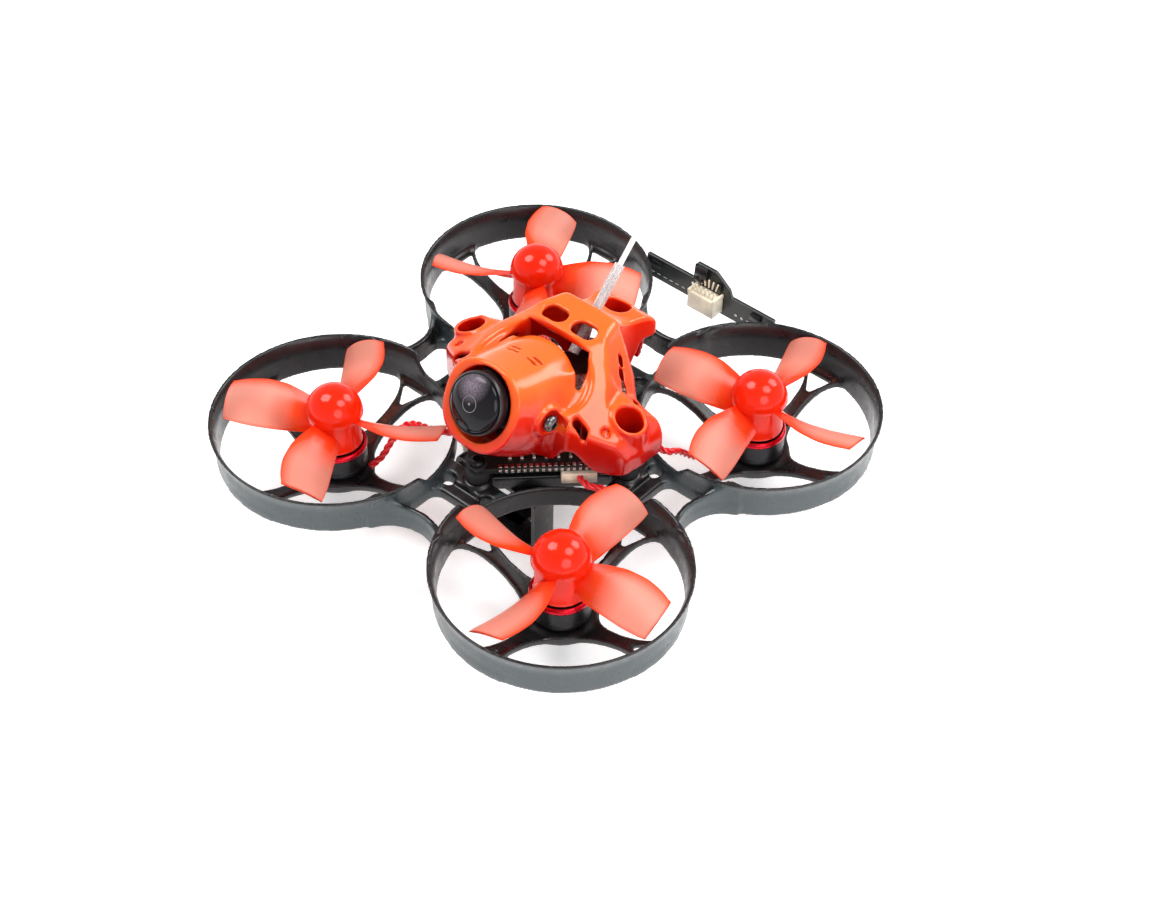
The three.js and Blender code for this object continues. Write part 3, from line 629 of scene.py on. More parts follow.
def make_materials():
    return {
        "frame": frame_material(),
        "propeller": propeller_material(),
        "canopy": canopy_material(),
        "bell": metal("bell_anodised", (0.022, 0.022, 0.024), 0.36, 0.75),
        "base": metal("motor_base_black", (0.018, 0.018, 0.02), 0.4, 0.6),
        "copper": metal("winding_copper", (0.6, 0.2, 0.07), 0.3),
        "crimson": metal("crimson_ring", (0.62, 0.006, 0.02), 0.28, 0.85),
        "steel": metal("screw_steel", (0.16, 0.155, 0.155), 0.25),
        "black_steel": metal("screw_blackened", (0.03, 0.03, 0.032), 0.38),
        "wire": plain("wire_insulation", (0.78, 0.012, 0.018), 0.3, Coat_Weight=0.3),
        "board": plain("solder_mask_black", (0.011, 0.014, 0.013), 0.34, Coat_Weight=0.3),
        "chip": plain("chip_epoxy", (0.016, 0.016, 0.018), 0.5),
        "pad": metal("tinned_pad", (0.72, 0.66, 0.6), 0.28),
        "part": plain("ceramic_part", (0.32, 0.27, 0.22), 0.45),
        "connector": plain("connector_nylon", (0.84, 0.76, 0.6), 0.42),
        "rubber": plain("soft_rubber", (0.012, 0.012, 0.013), 0.75),
        "camera": plain("camera_black", (0.011, 0.011, 0.013), 0.33, Coat_Weight=0.2),
        "glass": glass_material(),
        "lens_inside": plain("lens_inside", (0.012, 0.010, 0.016), 0.2, Coat_Weight=1.0),
        "lens_ring": plain("lens_ring", (0.2, 0.19, 0.2), 0.25),
        "sleeve": sleeve_material(),
        "aerial": plain("aerial_white", (0.88, 0.84, 0.82), 0.4),
        "lamp": plain("lamp_package", (0.8, 0.78, 0.72), 0.25, Coat_Weight=0.5),
        "ink": plain("board_ink", (0.72, 0.74, 0.74), 0.6),
    }


# ------------------------------------------------------------------ moulded frame
def wall_middle(h):
    """Radius of the middle of a duct's wall, which flares towards its lip."""
    lean = np.clip((h - 4.6) / 2.9, 0, 1.2) ** 2
    return DUCT_BORE + WALL_HALF + 0.03 * np.clip(h, 0, 6) + 0.95 * lean


def duct_field(x, y, h):
    """One duct with its four mount legs; h is the height above the duct's lower edge."""
    u, v = x - MOTOR, y - MOTOR
    r = np.hypot(u, v)
    wall = np.abs(r - wall_middle(h)) - WALL_HALF + 0.1 * np.clip(h / 7.5, 0, 1)
    from_middle = np.abs(np.arctan2(v, u) + 3 * math.pi / 4)
    from_middle = np.minimum(from_middle, 2 * math.pi - from_middle)
    ramp = np.clip((from_middle - math.pi / 4) * DUCT_BORE / 3.6 + 0.5, 0, 1)
    ramp = ramp * ramp * (3 - 2 * ramp)
    top = LOW_WALL_HEIGHT + (DUCT_TOP - DUCT_BOTTOM - LOW_WALL_HEIGHT) * ramp
    wall = both(both(wall, h - top, 0.25), -h, 0.25)
    return join(wall, leg_field(u, v, r, h), 0.7)


def layer_under(h, top, thick):
    """A flat layer that reaches down from a height."""
    return np.abs(h - top + thick / 2) - thick / 2


def leg_field(u, v, r, h):
    """The motor mount and its four forked legs."""
    along = np.maximum(np.abs(u), np.abs(v))
    aside = np.minimum(np.abs(u), np.abs(v))
    reach = DUCT_BORE + 0.4
    width = 1.15 + 3.4 * np.exp(-(along - 4.6) / 2.4) + 4.6 * np.exp((along - reach) / 2.3)
    plan = 0.8 * (aside - width)
    window = np.maximum(0.55 * (aside - 0.62 * (along - 15.4)), along - reach + 1.3)
    window = np.maximum(window, 15.9 - along)
    plan = cut(plan, window, 0.35)
    plan = both(plan, r - reach - 0.2, 0.3)
    rise = np.clip((r - MOUNT_RADIUS) / (reach - MOUNT_RADIUS), 0, 1)
    mount_top = MOUNT_TOP - DUCT_BOTTOM
    top = mount_top + rise * (1.5 - mount_top)
    leg = both(plan, layer_under(h, top, LEG_THICKNESS), 0.4)
    disc = both(r - MOUNT_RADIUS, layer_under(h, mount_top, MOUNT_THICKNESS), 0.4)
    mount = join(leg, disc, 0.6)
    mount = cut(mount, r - 1.5, 0.15)
    for i in range(3):
        angle = math.pi / 4 + 2 * math.pi * i / 3
        hole = np.hypot(u - SCREW_CIRCLE * math.cos(angle), v - SCREW_CIRCLE * math.sin(angle)) - 0.6
        mount = cut(mount, hole, 0.1)
    return mount


def centre_field(x, y, h):
    """The bridges between the ducts and the square spider with its posts."""
    along = np.maximum(x, y)
    aside = np.minimum(x, y)
    bar = np.abs((x + y) / math.sqrt(2) - POST / math.sqrt(2) + 1.9) - 1.5
    bar = both(bar, along - POST - 0.4, 0.6)
    bridge = both(np.abs(along - 27.8) - 10.6, aside - 7.6, 1.5)
    from_arc = np.hypot(along - ARC_CENTRE, aside)
    outside_duct = DUCT_BORE + 0.3 - np.hypot(x - MOTOR, y - MOTOR)
    bridge = both(bridge, outside_duct, 0.3)
    bridge = both(bridge, 8.5 - from_arc, 0.4)
    window = rounded_box(along - 27.6, aside, 3.9, 5.1, 2.2)
    inner = np.hypot(along - 21.0, (aside - 4.6) * 0.8) - 1.2
    plan = join(bar, cut(cut(bridge, window, 0.5), inner, 0.4), 1.2)
    thick = np.where(along > 21, 1.15, 1.5)
    plate = both(plan, np.abs(h - thick) - thick, 0.35)
    rise = np.clip((aside - 2.4) / 5, 0, 1) ** 2
    skirt_half = 2.3 + 1.45 * rise
    skirt = both(np.abs(from_arc - ARC_RADIUS) - 0.55, np.abs(h - skirt_half) - skirt_half, 0.25)
    skirt = both(both(both(skirt, aside - 7.8, 0.3), along - 37.2, 0.3), outside_duct, 0.3)
    post = both(np.hypot(along - POST, aside) - 2.3, np.abs(h - 1.8) - 1.8, 0.3)
    body = join(join(plate, skirt, 0.6), post, 0.7)
    return cut(body, np.hypot(along - POST, aside) - 0.8, 0.1)


def soften(piece, rounds):
    """Even out the small steps that the grid leaves."""
    smooth = piece.modifiers.new("soften", "SMOOTH")
    smooth.factor = 0.5
    smooth.iterations = rounds


def mark_painted_floor_light(piece):
    """Painted floor light: a mark that is 1 on walls that face away from the motors and from the craft's
    middle, where the bright floor would light them.
    """
    spots, facing = vertex_places(piece)
    beside = np.abs(spots[:, :2])
    outward = facing[:, :2] * np.sign(spots[:, :2])
    reach = np.hypot(*(beside - MOTOR).T)
    height = spots[:, 2] - DUCT_BOTTOM
    wall = (reach > wall_middle(height) + 0.1) & (reach < LIP_RADIUS + 0.6)
    along = beside.max(axis=1)
    from_arc = np.hypot(along - ARC_CENTRE, beside.min(axis=1))
    web = (along > 29) & (from_arc < ARC_RADIUS) & (reach > DUCT_BORE + WALL_HALF) & ~wall
    outer = np.where(wall, 1, np.where(web, (outward.max(axis=1) - 0.3) / 0.4, 0))
    # The painted light stops below the lip, which faces down and stays black as in shade.
    below_lip = np.clip((DUCT_TOP - 0.65 - spots[:, 2]) / 0.25, 0, 1)
    mark(piece, "painted_floor_light", np.clip(outer, 0, 1) * below_lip)


def build_moulded_frame(materials):
    """Four ducts, their legs, the bridges and the spider: one quarter's field, turned four times."""
    step = FRAME_STEP
    reach = MOTOR + LIP_RADIUS + 3 * step
    side = (np.arange(int(reach / step) + 1) + 0.5) * step
    low = MOUNT_BOTTOM - DUCT_BOTTOM - 2 * step
    heights = np.arange(low, DUCT_TOP - DUCT_BOTTOM + 3 * step, step)
    x, y, h = np.meshgrid(side, side, heights, indexing="ij")
    quarter = join(duct_field(x, y, h), centre_field(x, y, h), 0.5)
    swapped = quarter.transpose(1, 0, 2)
    right = np.concatenate([swapped[:, ::-1], quarter], axis=1)
    left = np.concatenate([quarter[::-1, ::-1], swapped[::-1]], axis=1)
    field = np.concatenate([left, right], axis=0)
    origin = (-side[-1], -side[-1], heights[0] + DUCT_BOTTOM)
    piece = field_object("moulded_frame", field, origin, step, materials["frame"])
    mark_painted_floor_light(piece)
    soften(piece, 3)
    ducts = [f"duct_{corner}" for corner in CORNERS]
    place(piece, "airframe", "frame", "centre_frame", *ducts)


def hoop_outline(inset, y):
    """The tray's section at one place along Y, drawn in by an inset."""
    half_width = (TRAY_HIGH.x - TRAY_LOW.x) / 2 - inset
    top = DUCT_BOTTOM + 0.3
    radius = max(2.0 - inset, 0.8)
    half_height = top / 2 - inset - radius
    corners = rounded_corners(half_width - radius, half_height, radius, 7)
    return [(x, y, top / 2 + z) for x, z in corners]


def build_battery_tray(materials):
    """Two closed hoops and the floor strip between them."""
    shape = Shape()
    wall, half_length = 1.1, 2.5
    hoop_y = (TRAY_HIGH.y - TRAY_LOW.y) / 2 - half_length
    section = [(0.0, 2.2), (0.15, half_length), (wall - 0.15, half_length), (wall, 2.2),
               (wall, -2.2), (wall - 0.15, -half_length), (0.15, -half_length), (0.0, -2.2)]
    for middle_y in (-hoop_y, hoop_y):
        shape.rings([hoop_outline(inset, middle_y + away) for inset, away in section], closed=True)
    soft_block(shape, (7, 2 * hoop_y, wall), (0, 0, wall / 2), 0.2)
    shape.finish("battery_tray_moulding", materials["frame"], "airframe", "frame", "battery_tray",
                 crease=40)


# ------------------------------------------------------------------ motors and propellers
def at_motor(corner):
    return Matrix.Translation(Vector((corner["x"] * MOTOR, corner["y"] * MOTOR, 0)))


def build_motor(name, corner, materials):
    there = at_motor(corner)
    rotor = f"rotor_{name}"
    turned_piece(f"motor_base_{name}", materials["base"], "airframe", "motor_base", [
        (2.2, MOUNT_TOP + 0.02), (4.7, MOUNT_TOP + 0.02), (4.9, MOUNT_TOP + 0.2),
        (4.9, MOUNT_TOP + 0.5), (4.6, MOUNT_TOP + 0.6), (1.6, MOUNT_TOP + 0.6),
        (1.6, BELL_TOP - 1.2), (0.7, BELL_TOP - 1.2), (0.7, MOUNT_TOP + 0.02),
    ], 40, there, f"motor_stator_{name}", crease=CREASE)

    coils = Shape()
    for i in range(COILS):
        first = len(coils.points)
        coils.rings(block_rings((1.7, 1.25, 2.4), 0.35))
        turn = Matrix.Rotation(2 * math.pi * i / COILS, 4, "Z")
        coils.moved(turn @ Matrix.Translation(Vector((2.95, 0, BELL_BOTTOM + 1.9))), first)
    coils.moved(there)
    coils.finish(f"motor_coils_{name}", materials["copper"], "airframe", "motor_base")

    bell = Shape()
    bell.rings(turned([
        (BELL_RADIUS - 0.7, BELL_BOTTOM), (BELL_RADIUS - 0.12, BELL_BOTTOM),
        (BELL_RADIUS, BELL_BOTTOM + 0.12), (BELL_RADIUS, BELL_BOTTOM + 0.7),
        (BELL_RADIUS - 0.1, BELL_BOTTOM + 0.8), (BELL_RADIUS - 0.1, BELL_BOTTOM + 0.9),
        (BELL_RADIUS, BELL_BOTTOM + 1.0), (BELL_RADIUS, BELL_TOP - 0.5),
        (BELL_RADIUS - 0.4, BELL_TOP), (0.5, BELL_TOP), (0.5, BELL_TOP - 0.6),
        (BELL_RADIUS - 0.7, BELL_TOP - 0.6),
    ], 64), closed=True)
    bell.rings(turned([(0.35, MOUNT_TOP - 1), (0.5, MOUNT_TOP - 0.85), (0.5, HUB_BOTTOM + 4.3),
                       (0.35, HUB_BOTTOM + 4.5)], 16))
    bell.moved(there)
    bell.finish(f"motor_bell_{name}", materials["bell"], rotor, "motor_bell",
                f"motor_rotor_{name}", crease=CREASE)

    turned_piece(f"bell_ring_{name}", materials["crimson"], rotor, "motor_bell", [
        (BELL_RADIUS - 0.05, BELL_TOP - 0.95), (BELL_RADIUS + 0.1, BELL_TOP - 0.9),
        (BELL_RADIUS + 0.1, BELL_TOP - 0.45), (BELL_RADIUS - 0.3, BELL_TOP + 0.1),
        (BELL_RADIUS - 0.45, BELL_TOP + 0.02), (BELL_RADIUS - 0.06, BELL_TOP - 0.5),
    ], 64, there)

    outward = math.atan2(corner["y"], corner["x"])
    under = MOUNT_BOTTOM
    for i in range(3):
        angle = outward + 2 * math.pi * i / 3
        screw = Shape()
        screw.rings(screw_rings(
            [(0.52, MOUNT_TOP - 0.15), (0.55, under - 0.1), (1.15, under - 0.12),
             (1.12, under - 0.4), (0.95, under - 0.72)],
            [(0.62, under - 0.75), (0.5, under - 0.4)], cross))
        offset = Vector((SCREW_CIRCLE * math.cos(angle), SCREW_CIRCLE * math.sin(angle), 0))
        screw.moved(there @ Matrix.Translation(offset))
        screw.finish(f"base_screw_{name}_{i + 1}", materials["steel"], "airframe", "steel",
                     f"motor_screw_{name}_{i + 1}", crease=CREASE)


# Along a blade: radius, chord, pitch in degrees, sweep of the mid-chord, and height of the middle.
BLADE_TABLE = [
    (3.9, 6.0, 47, 0.0, 6.3),
    (6.5, 7.2, 42, 0.5, 6.3),
    (10, 8.6, 35, 0.9, 6.4),
    (14, 9.1, 29, 0.7, 6.6),
    (17.4, 8.5, 25, 0.1, 6.9),
    (19.0, 7.9, 23, -0.3, 7.05),
    (19.8, 7.3, 22, -0.5, 7.1),
]
BLADES = 4
BLADE_ROOT = 3.9
BLADE_COLUMNS = 15
BLADE_ROWS = 26


def blade_rings(hand):
    rings = []
    for row in range(BLADE_ROWS):
        share = row / (BLADE_ROWS - 1)
        radius = BLADE_ROOT + (PROP_RADIUS - BLADE_ROOT) * (1 - (1 - share) ** 1.35)
        chord, pitch, sweep, height = [
            float(soft_steps(np.array(radius), BLADE_TABLE, column, 0.8)) for column in (1, 2, 3, 4)]
        angle = math.radians(pitch)
        upper, lower = [], []
        for i in range(BLADE_COLUMNS):
            across = -0.5 + i / (BLADE_COLUMNS - 1)
            camber = 0.1 * chord * (1 - 4 * across * across)
            thick = 0.28 * max(1 - (2 * abs(across)) ** 4, 0.3) * (1.25 - 0.4 * share)
            for side, edge in ((1, upper), (-1, lower)):
                lift = camber + side * thick
                flat = across * chord
                sideways = flat * math.cos(angle) - lift * math.sin(angle) + sweep
                up = flat * math.sin(angle) + lift * math.cos(angle) + DUCT_BOTTOM + height
                share_out = max((radius - 16) / (PROP_RADIUS - 16), 0)
                inward = share_out * (radius - math.sqrt(radius ** 2 - sideways ** 2))
                edge.append((radius - inward, hand * sideways, up))
        ring = upper[::-1] + lower
        rings.append(ring if hand > 0 else ring[::-1])
    return rings


def blade_thinness(number, point):
    """How clear a blade looks at one of its points: most in its middle, least at root and edge."""
    row, column = divmod(number % (2 * BLADE_COLUMNS * BLADE_ROWS), 2 * BLADE_COLUMNS)
    column = BLADE_COLUMNS - 1 - column if column < BLADE_COLUMNS else column - BLADE_COLUMNS
    across = column / (BLADE_COLUMNS - 1)
    rim = min((1 - across) / 0.22, 1) * min(across / 0.08 + 0.4, 1)
    out = min(max((math.hypot(point[0], point[1]) - HUB_RADIUS) / 8, 0), 1)
    tip = min((BLADE_ROWS - 1 - row) / 2, 1)
    return out ** 0.8 * (0.4 + 0.6 * rim) * (0.6 + 0.4 * tip)


def build_propeller(name, corner, materials):
    shape = Shape()
    dome = dome_profile(DOME_RADIUS, DOME_BOTTOM, PROP_HIGH.z - DOME_BOTTOM, 0.92, 14)
    shape.rings(turned([
        (0.62, HUB_BOTTOM), (HUB_RADIUS - 0.2, HUB_BOTTOM), (HUB_RADIUS, HUB_BOTTOM + 0.15),
        (HUB_RADIUS, HUB_BOTTOM + 0.5), (HUB_RADIUS - 0.25, HUB_BOTTOM + 0.8),
        (HUB_RADIUS - 0.25, DOME_BOTTOM - 0.6), (HUB_RADIUS, DOME_BOTTOM - 0.4),
        (DOME_RADIUS - 0.1, DOME_BOTTOM - 0.15),
        *dome,
    ], 56))
    hub_points = len(shape.points)
    for i in range(BLADES):
        first = len(shape.points)
        shape.rings(blade_rings(corner["hand"]))
        shape.moved(Matrix.Rotation(2 * math.pi * i / BLADES, 4, "Z"), first)
    thinness = [0.0] * hub_points
    for number, point in enumerate(shape.points[hub_points:]):
        thinness.append(blade_thinness(number, point))
    shape.moved(at_motor(corner) @ Matrix.Rotation(math.radians(corner["phase"]), 4, "Z"))
    piece = shape.build(f"propeller_moulding_{name}", materials["propeller"])
    mark(piece, "thinness", thinness)
    sharpen(piece, 50)
    place(piece, f"rotor_{name}", "propeller", f"propeller_{name}")


# ------------------------------------------------------------------ leads
# Routes of the leads, the same as the frame's: from each motor's foot to just outside its plug.
LEAD_ROUTES = {
    "front_left": [(24.8, -20.3, 9.8), (24.5, -17, 10.8), (24.2, -12.4, 13.8), (23.6, -8.8, 16.7),
                   (22.2, -6.9, 17.7), (19.4, -7.0, 17.8), (16.6, -8.2, 17.75)],
    "front_right": [(-20.6, -24.4, 9.6), (-20.0, -21.9, 10.8), (-19.8, -19.6, 13.0),
                    (-19.2, -17.2, 15.2), (-17.4, -16.0, 16.2), (-14.4, -15.6, 16.8),
                    (-11.4, -15.0, 17.45)],
    "rear_left": [(24.7, 20.0, 10.0), (23.6, 17.2, 10.9), (22.7, 13.2, 13.4), (22.0, 9.8, 16.6),
                  (21.2, 7.5, 17.7), (18.8, 7.2, 17.8), (16.4, 8.2, 17.75)],
    "rear_right": [(-20.6, 24.4, 9.6), (-19.6, 21.6, 11.2), (-18.0, 18.8, 14.2),
                   (-16.2, 17.0, 16.1), (-13.6, 15.8, 16.9), (-11.2, 14.9, 17.45)],
}
STRAND_RADIUS = 0.32
TWIST_RADIUS = 0.35
TWIST_PITCH = 4.2
LEAD_STEPS = 90
LEAD_OVER_WALL = 0.95
PLUG_FACE = 1.6


def lead_route(name):
    """The route with its last step, into the face of the plug."""
    centre = middle(f"motor_plug_{name}")
    outward = Vector((CORNERS[name]["x"], CORNERS[name]["y"], 0)).normalized()
    end = centre + PLUG_FACE * outward
    return [*LEAD_ROUTES[name], (end.x, end.y, DUCT_BOTTOM + LOW_WALL_HEIGHT + LEAD_OVER_WALL)]


def build_lead(name, materials):
    """Three strands twisted round the route."""
    shape = Shape()
    points = curve_points(lead_route(name), LEAD_STEPS)
    travelled = [0.0]
    for a, b in zip(points, points[1:]):
        travelled.append(travelled[-1] + (b - a).length)
    for strand in range(3):
        def offset(i, strand=strand):
            angle = 2 * math.pi * (strand / 3 + travelled[i] / TWIST_PITCH)
            return TWIST_RADIUS * math.cos(angle), TWIST_RADIUS * math.sin(angle)

        shape.rings(tube_rings(points, STRAND_RADIUS, 10, offset))
    shape.finish(f"twisted_lead_{name}", materials["wire"], "airframe", "wire", f"motor_lead_{name}")


def build_plug(name, materials):
    """A three-way plug: a cream body with three open cells."""
    centre = middle(f"motor_plug_{name}")
    corner = CORNERS[name]
    outward = math.atan2(corner["y"], corner["x"])
    shape = Shape()
    soft_block(shape, (6.2, 3.1, 2.2), (0, -0.15, 0), 0.18)
    for i in (-1, 0, 1):
        soft_block(shape, (1.2, 0.5, 1.0), (1.9 * i, 1.35, 0), 0.1)
    soft_block(shape, (4.4, 0.6, 0.3), (0, -1.2, -1.2), 0.08)
    shape.moved(Matrix.Translation(centre) @ Matrix.Rotation(outward - math.pi / 2, 4, "Z"))
    shape.finish(f"lead_plug_{name}", materials["connector"], "airframe", "connector",
                 f"motor_plug_{name}", crease=CREASE)


# ------------------------------------------------------------------ flight electronics
def board_outline(half, radius, height):
    return [(x, y, height) for x, y in rounded_corners(half - radius, half - radius, radius, 7)]


def board_plate(shape, half, radius, low, high):
    soft = 0.06
    shape.rings([
        board_outline(half - soft, radius, low), board_outline(half, radius, low + soft),
        board_outline(half, radius, high - soft), board_outline(half - soft, radius, high),
    ])


def build_flight_board(materials):
    turn = Matrix.Rotation(math.pi / 4, 4, "Z")
    half = (BOARD_HIGH.x - BOARD_LOW.x) / 2 / math.sqrt(2) + 0.6
    plate = Shape()
    board_plate(plate, half, 2, BOARD_LOW.z, BOARD_HIGH.z)
    plate.moved(turn)
    plate.finish("flight_board_plate", materials["board"], "airframe", "board", "flight_board",
                 crease=CREASE)

    pads = Shape()
    parts = Shape()
    chips = Shape()
    top = BOARD_HIGH.z
    edge = half - 0.75
    for side in range(4):
        quarter = Matrix.Rotation(side * math.pi / 2, 4, "Z")
        first = [len(pads.points), len(parts.points), len(chips.points)]
        for i in range(18):
            along = -9.0 + 1.06 * i
            soft_block(pads, (0.62, 0.8, 0.12), (along, edge, top + 0.05), 0.03)
            soft_block(pads, (0.5, 0.12, 0.6), (along, half + 0.02, (BOARD_LOW.z + top) / 2), 0.03)
        for i in range(8):
            soft_block(parts, (0.5, 0.9, 0.42), (-7.4 + 2.1 * i, edge - 2.1, top + 0.22), 0.05)
            soft_block(pads, (0.6, 0.3, 0.3), (-7.4 + 2.1 * i, edge - 1.65, top + 0.15), 0.05)
        soft_block(chips, (2.6, 2.0, 0.7), (5.0, edge - 4.2, top + 0.36), 0.08)
        for shape, start in zip((pads, parts, chips), first):
            shape.moved(quarter, start)
    soft_block(chips, (7, 7, 0.85), (0, 0, top + 0.5), 0.08)
    for i in range(12):
        for side in range(4):
            first = len(pads.points)
            soft_block(pads, (0.2, 0.5, 0.1), (-2.9 + 0.52 * i, 3.65, top + 0.08), 0.03)
            pads.moved(Matrix.Rotation(side * math.pi / 2, 4, "Z"), first)
    for shape, name, key in ((pads, "board_pads", "pad"), (parts, "board_small_parts", "part")):
        shape.moved(turn)
        shape.finish(name, materials[key], "airframe", "board", crease=CREASE)
    chips.moved(turn)
    chips.finish("board_chips", materials["chip"], "airframe", "chip", "processor_chip", crease=CREASE)


def build_radio_board(materials):
    centre = (RADIO_LOW + RADIO_HIGH) / 2
    turn = Matrix.Translation(Vector((centre.x, centre.y, 0))) @ Matrix.Rotation(math.pi / 4, 4, "Z")
    plate = Shape()
    board_plate(plate, 8, 1.5, RADIO_LOW.z, RADIO_HIGH.z)
    plate.moved(turn)
    plate.finish("radio_board_plate", materials["board"], "airframe", "board", "radio_board",
                 crease=CREASE)
    shield = Shape()
    soft_block(shield, (7.2, 6.2, 0.9), (1.5, -2.2, RADIO_HIGH.z + 0.5), 0.15)
    for i in range(6):
        soft_block(shield, (0.7, 0.7, 0.3), (-6.2, -5 + 2 * i, RADIO_HIGH.z + 0.12), 0.06)
    shield.moved(turn)
    shield.finish("radio_shield", materials["pad"], "airframe", "board", crease=CREASE)


def build_stack_hardware(materials):
    for name in ("left", "rear", "right", "front"):
        low, high = span(f"rubber_grommet_{name}")
        there = Matrix.Translation(Vector(((low.x + high.x) / 2, (low.y + high.y) / 2, 0)))
        turned_piece(f"grommet_{name}", materials["rubber"], "airframe", "rubber", [
            (0.78, low.z), (1.9, low.z), (2.1, low.z + 0.3), (2.1, BOARD_LOW.z - 0.35),
            (1.9, BOARD_LOW.z - 0.08), (1.15, BOARD_LOW.z - 0.02), (1.15, BOARD_HIGH.z + 0.02),
            (1.8, BOARD_HIGH.z + 0.06), (1.9, high.z - 0.04), (0.78, high.z),
        ], 32, there, f"rubber_grommet_{name}")
        low, high = span(f"stack_screw_{name}")
        screw = Shape()
        screw.rings(screw_rings(
            [(0.55, low.z), (0.6, low.z + 0.1), (0.6, high.z - 1.0), (1.38, high.z - 0.98),
             (1.4, high.z - 0.6), (1.15, high.z - 0.2)],
            [(0.8, high.z), (0.62, high.z - 0.05), (0.6, high.z - 0.5)], hexagon))
        screw.moved(there)
        screw.finish(f"stack_bolt_{name}", materials["black_steel"], "airframe", "steel",
                     f"stack_screw_{name}", crease=CREASE)


# ------------------------------------------------------------------ camera
def lens_axis(forward=0.0, down=0.0):
    """From a body turned round Z to the lens axis, with its start at the tilt pivot."""
    return Matrix.Translation(PIVOT + forward * LENS_FORWARD - down * LENS_UP) @ upright_to(LENS_FORWARD)


def build_camera(materials):
    housing = Shape()
    soft_block(housing, (10.0, 9.6, 5.8), (0, 0, 0.7), 1.3)
    for sign in (-1, 1):
        first = len(housing.points)
        housing.rings(turned([(2.1, 0), (2.1, 0.5), (1.9, 0.7), (0.8, 0.7)], 28))
        housing.moved(Matrix.Translation(Vector((sign * 4.9, 0, 0)))
                      @ Matrix.Rotation(sign * math.pi / 2, 4, "Y"), first)
    housing.moved(lens_axis())
    housing.finish("camera_case", materials["camera"], "camera", "camera", "camera_housing",
                   crease=CREASE)

    there = lens_axis(*LENS_SHIFT)
    turned_piece("lens_tube", materials["camera"], "camera", "camera", [
        (3.6, 3.75), (4.4, 3.75), (4.4, 4.8), (5.4, 5.3), (LENS_RADIUS, 5.6), (LENS_RADIUS, 7.0),
        (LENS_RADIUS - 0.06, 7.25), (LENS_RADIUS - 0.2, 7.4), (LENS_RADIUS - 0.38, 7.34),
        (LENS_RADIUS - 0.45, 7.0), (3.4, 5.6), (2.3, 5.2), (2.3, 4.6), (3.6, 4.4),
    ], 72, there, "lens_barrel", crease=50)
    turned_piece("lens_inner_element", materials["lens_inside"], "camera", "camera",
                 [(0.01, 4.7), (2.2, 4.7), (2.2, 5.3), (1.5, 5.9), (0.6, 6.2), (0.01, 6.25)],
                 40, there, closed=False)
    turned_piece("lens_inner_ring", materials["lens_ring"], "camera", "camera",
                 [(1.55, 5.9), (1.95, 5.75), (1.98, 5.9), (1.6, 6.05)], 48, there)
    turned_piece("lens_front_glass", materials["glass"], "camera", "lens",
                 [(0.01, 7.0), (4.8, 7.0), (5.05, 7.1), *dome_profile(5.05, 7.22, 1.7, 0.95, 12)],
                 64, there, "lens_glass", closed=False)

    # A painted reflection on the dome: a pale ring, with a small painted glint at its middle.
    reflection = Shape()
    reflection.rings(turned([(1.3, 8.84), (1.38, 8.95), (1.46, 8.84), (1.38, 8.8)], 48), closed=True)
    reflection.rings(turned([(0.02, 8.85), (0.25, 8.88), (0.2, 8.99), (0.02, 9.0)], 16))
    reflection.moved(there)
    reflection.finish("lens_reflection_ring", materials["lens_ring"], "camera", "camera")

    seat = CAMERA_SCREW_SEAT
    for name, sign in (("left", 1), ("right", -1)):
        screw = Shape()
        screw.rings(screw_rings(
            [(0.55, 3.3), (0.6, 3.5), (0.6, seat), (1.45, seat + 0.02), (1.5, seat + 0.5),
             (1.35, seat + 0.9), (1.0, seat + 1.22)],
            [(0.75, seat + 1.3), (0.66, seat + 1.26), (0.64, seat + 0.7)], hexagon))
        screw.moved(Matrix.Translation(PIVOT) @ Matrix.Rotation(sign * math.pi / 2, 4, "Y"))
        screw.finish(f"camera_bolt_{name}", materials["steel"], "camera", "steel",
                     f"camera_screw_{name}", crease=CREASE)


# ------------------------------------------------------------------ canopy
# Along X, for the wings: the front edge's Y and the rear edge's Y.
WING = [
    (0, -9.0, 11.6),
    (6.3, -9.0, 11.4),
    (8.6, -9.0, 10.5),
    (10.2, -9.1, 9.7),
    (12.0, -9.4, 8.9),
    (13.5, -9.1, 7.4),
    (15, -8.2, 6.3),
    (17, -6.9, 5.4),
    (20.4, -4.6, 5.6),
    (22, -3.6, 5.8),
]
# Facets of the wings' upper side: height where it starts, its fall along X and its rise along Y.
FRONT_FACET = (24.0, 5.5, 3.1, -0.556, 0.256)
REAR_FACET = (24.0, 6.5, 8.6, -1.251, -0.396)
END_FACET = (11.4, 21.3, 0, -2.2, 0.1)
PLATFORM_TOP = 24.2
SHOULDER_TOP = 16.5   # round the side recesses
# Along Y, for the arm that falls to the rear lobe: half the width, and the height of the top.
REAR_ARM = [
    (6, 7.6, 23.8),
    (11, 6.2, 23.6),
    (13, 5.4, 21.6),
    (16, 5.2, 20.2),
    (20, 6.2, 19.6),
    (21.6, 6.6, 18.0),
]
# Along the lens axis from the pivot: half the hood's width, its reach above and its reach below.
HOOD = [
    (-12, 8.2, 11.0, 8.6),
    (-7.4, 8.7, 10.2, 9.6),
    (-4, 9.0, 9.3, 10.2),
    (-0.6, 9.0, 8.2, 10.2),
    (3.5, 8.6, 7.2, 9.6),
    (7.2, 7.8, 6.5, 8.9),
]
HOOD_FRONT = 7.3
HOOD_REAR = 1.0
MOUTH_RADIUS = 6.65
MOUTH_DROP = 0.85
RECESS_BRIM = 16.35
RECESS_FLOOR = 8.8
SKIRT_EDGE = 7.3
CHEEK_DROP = 1.0
# The bite between the wing and the hood: centre and radius in plan.
WAIST = (4.9, -4.6, 6.65)
RIDGE_SLOTS = [(10.0, 7.3), (11.5, 5.8), (13.2, 4.6), (16.1, 4.3)]


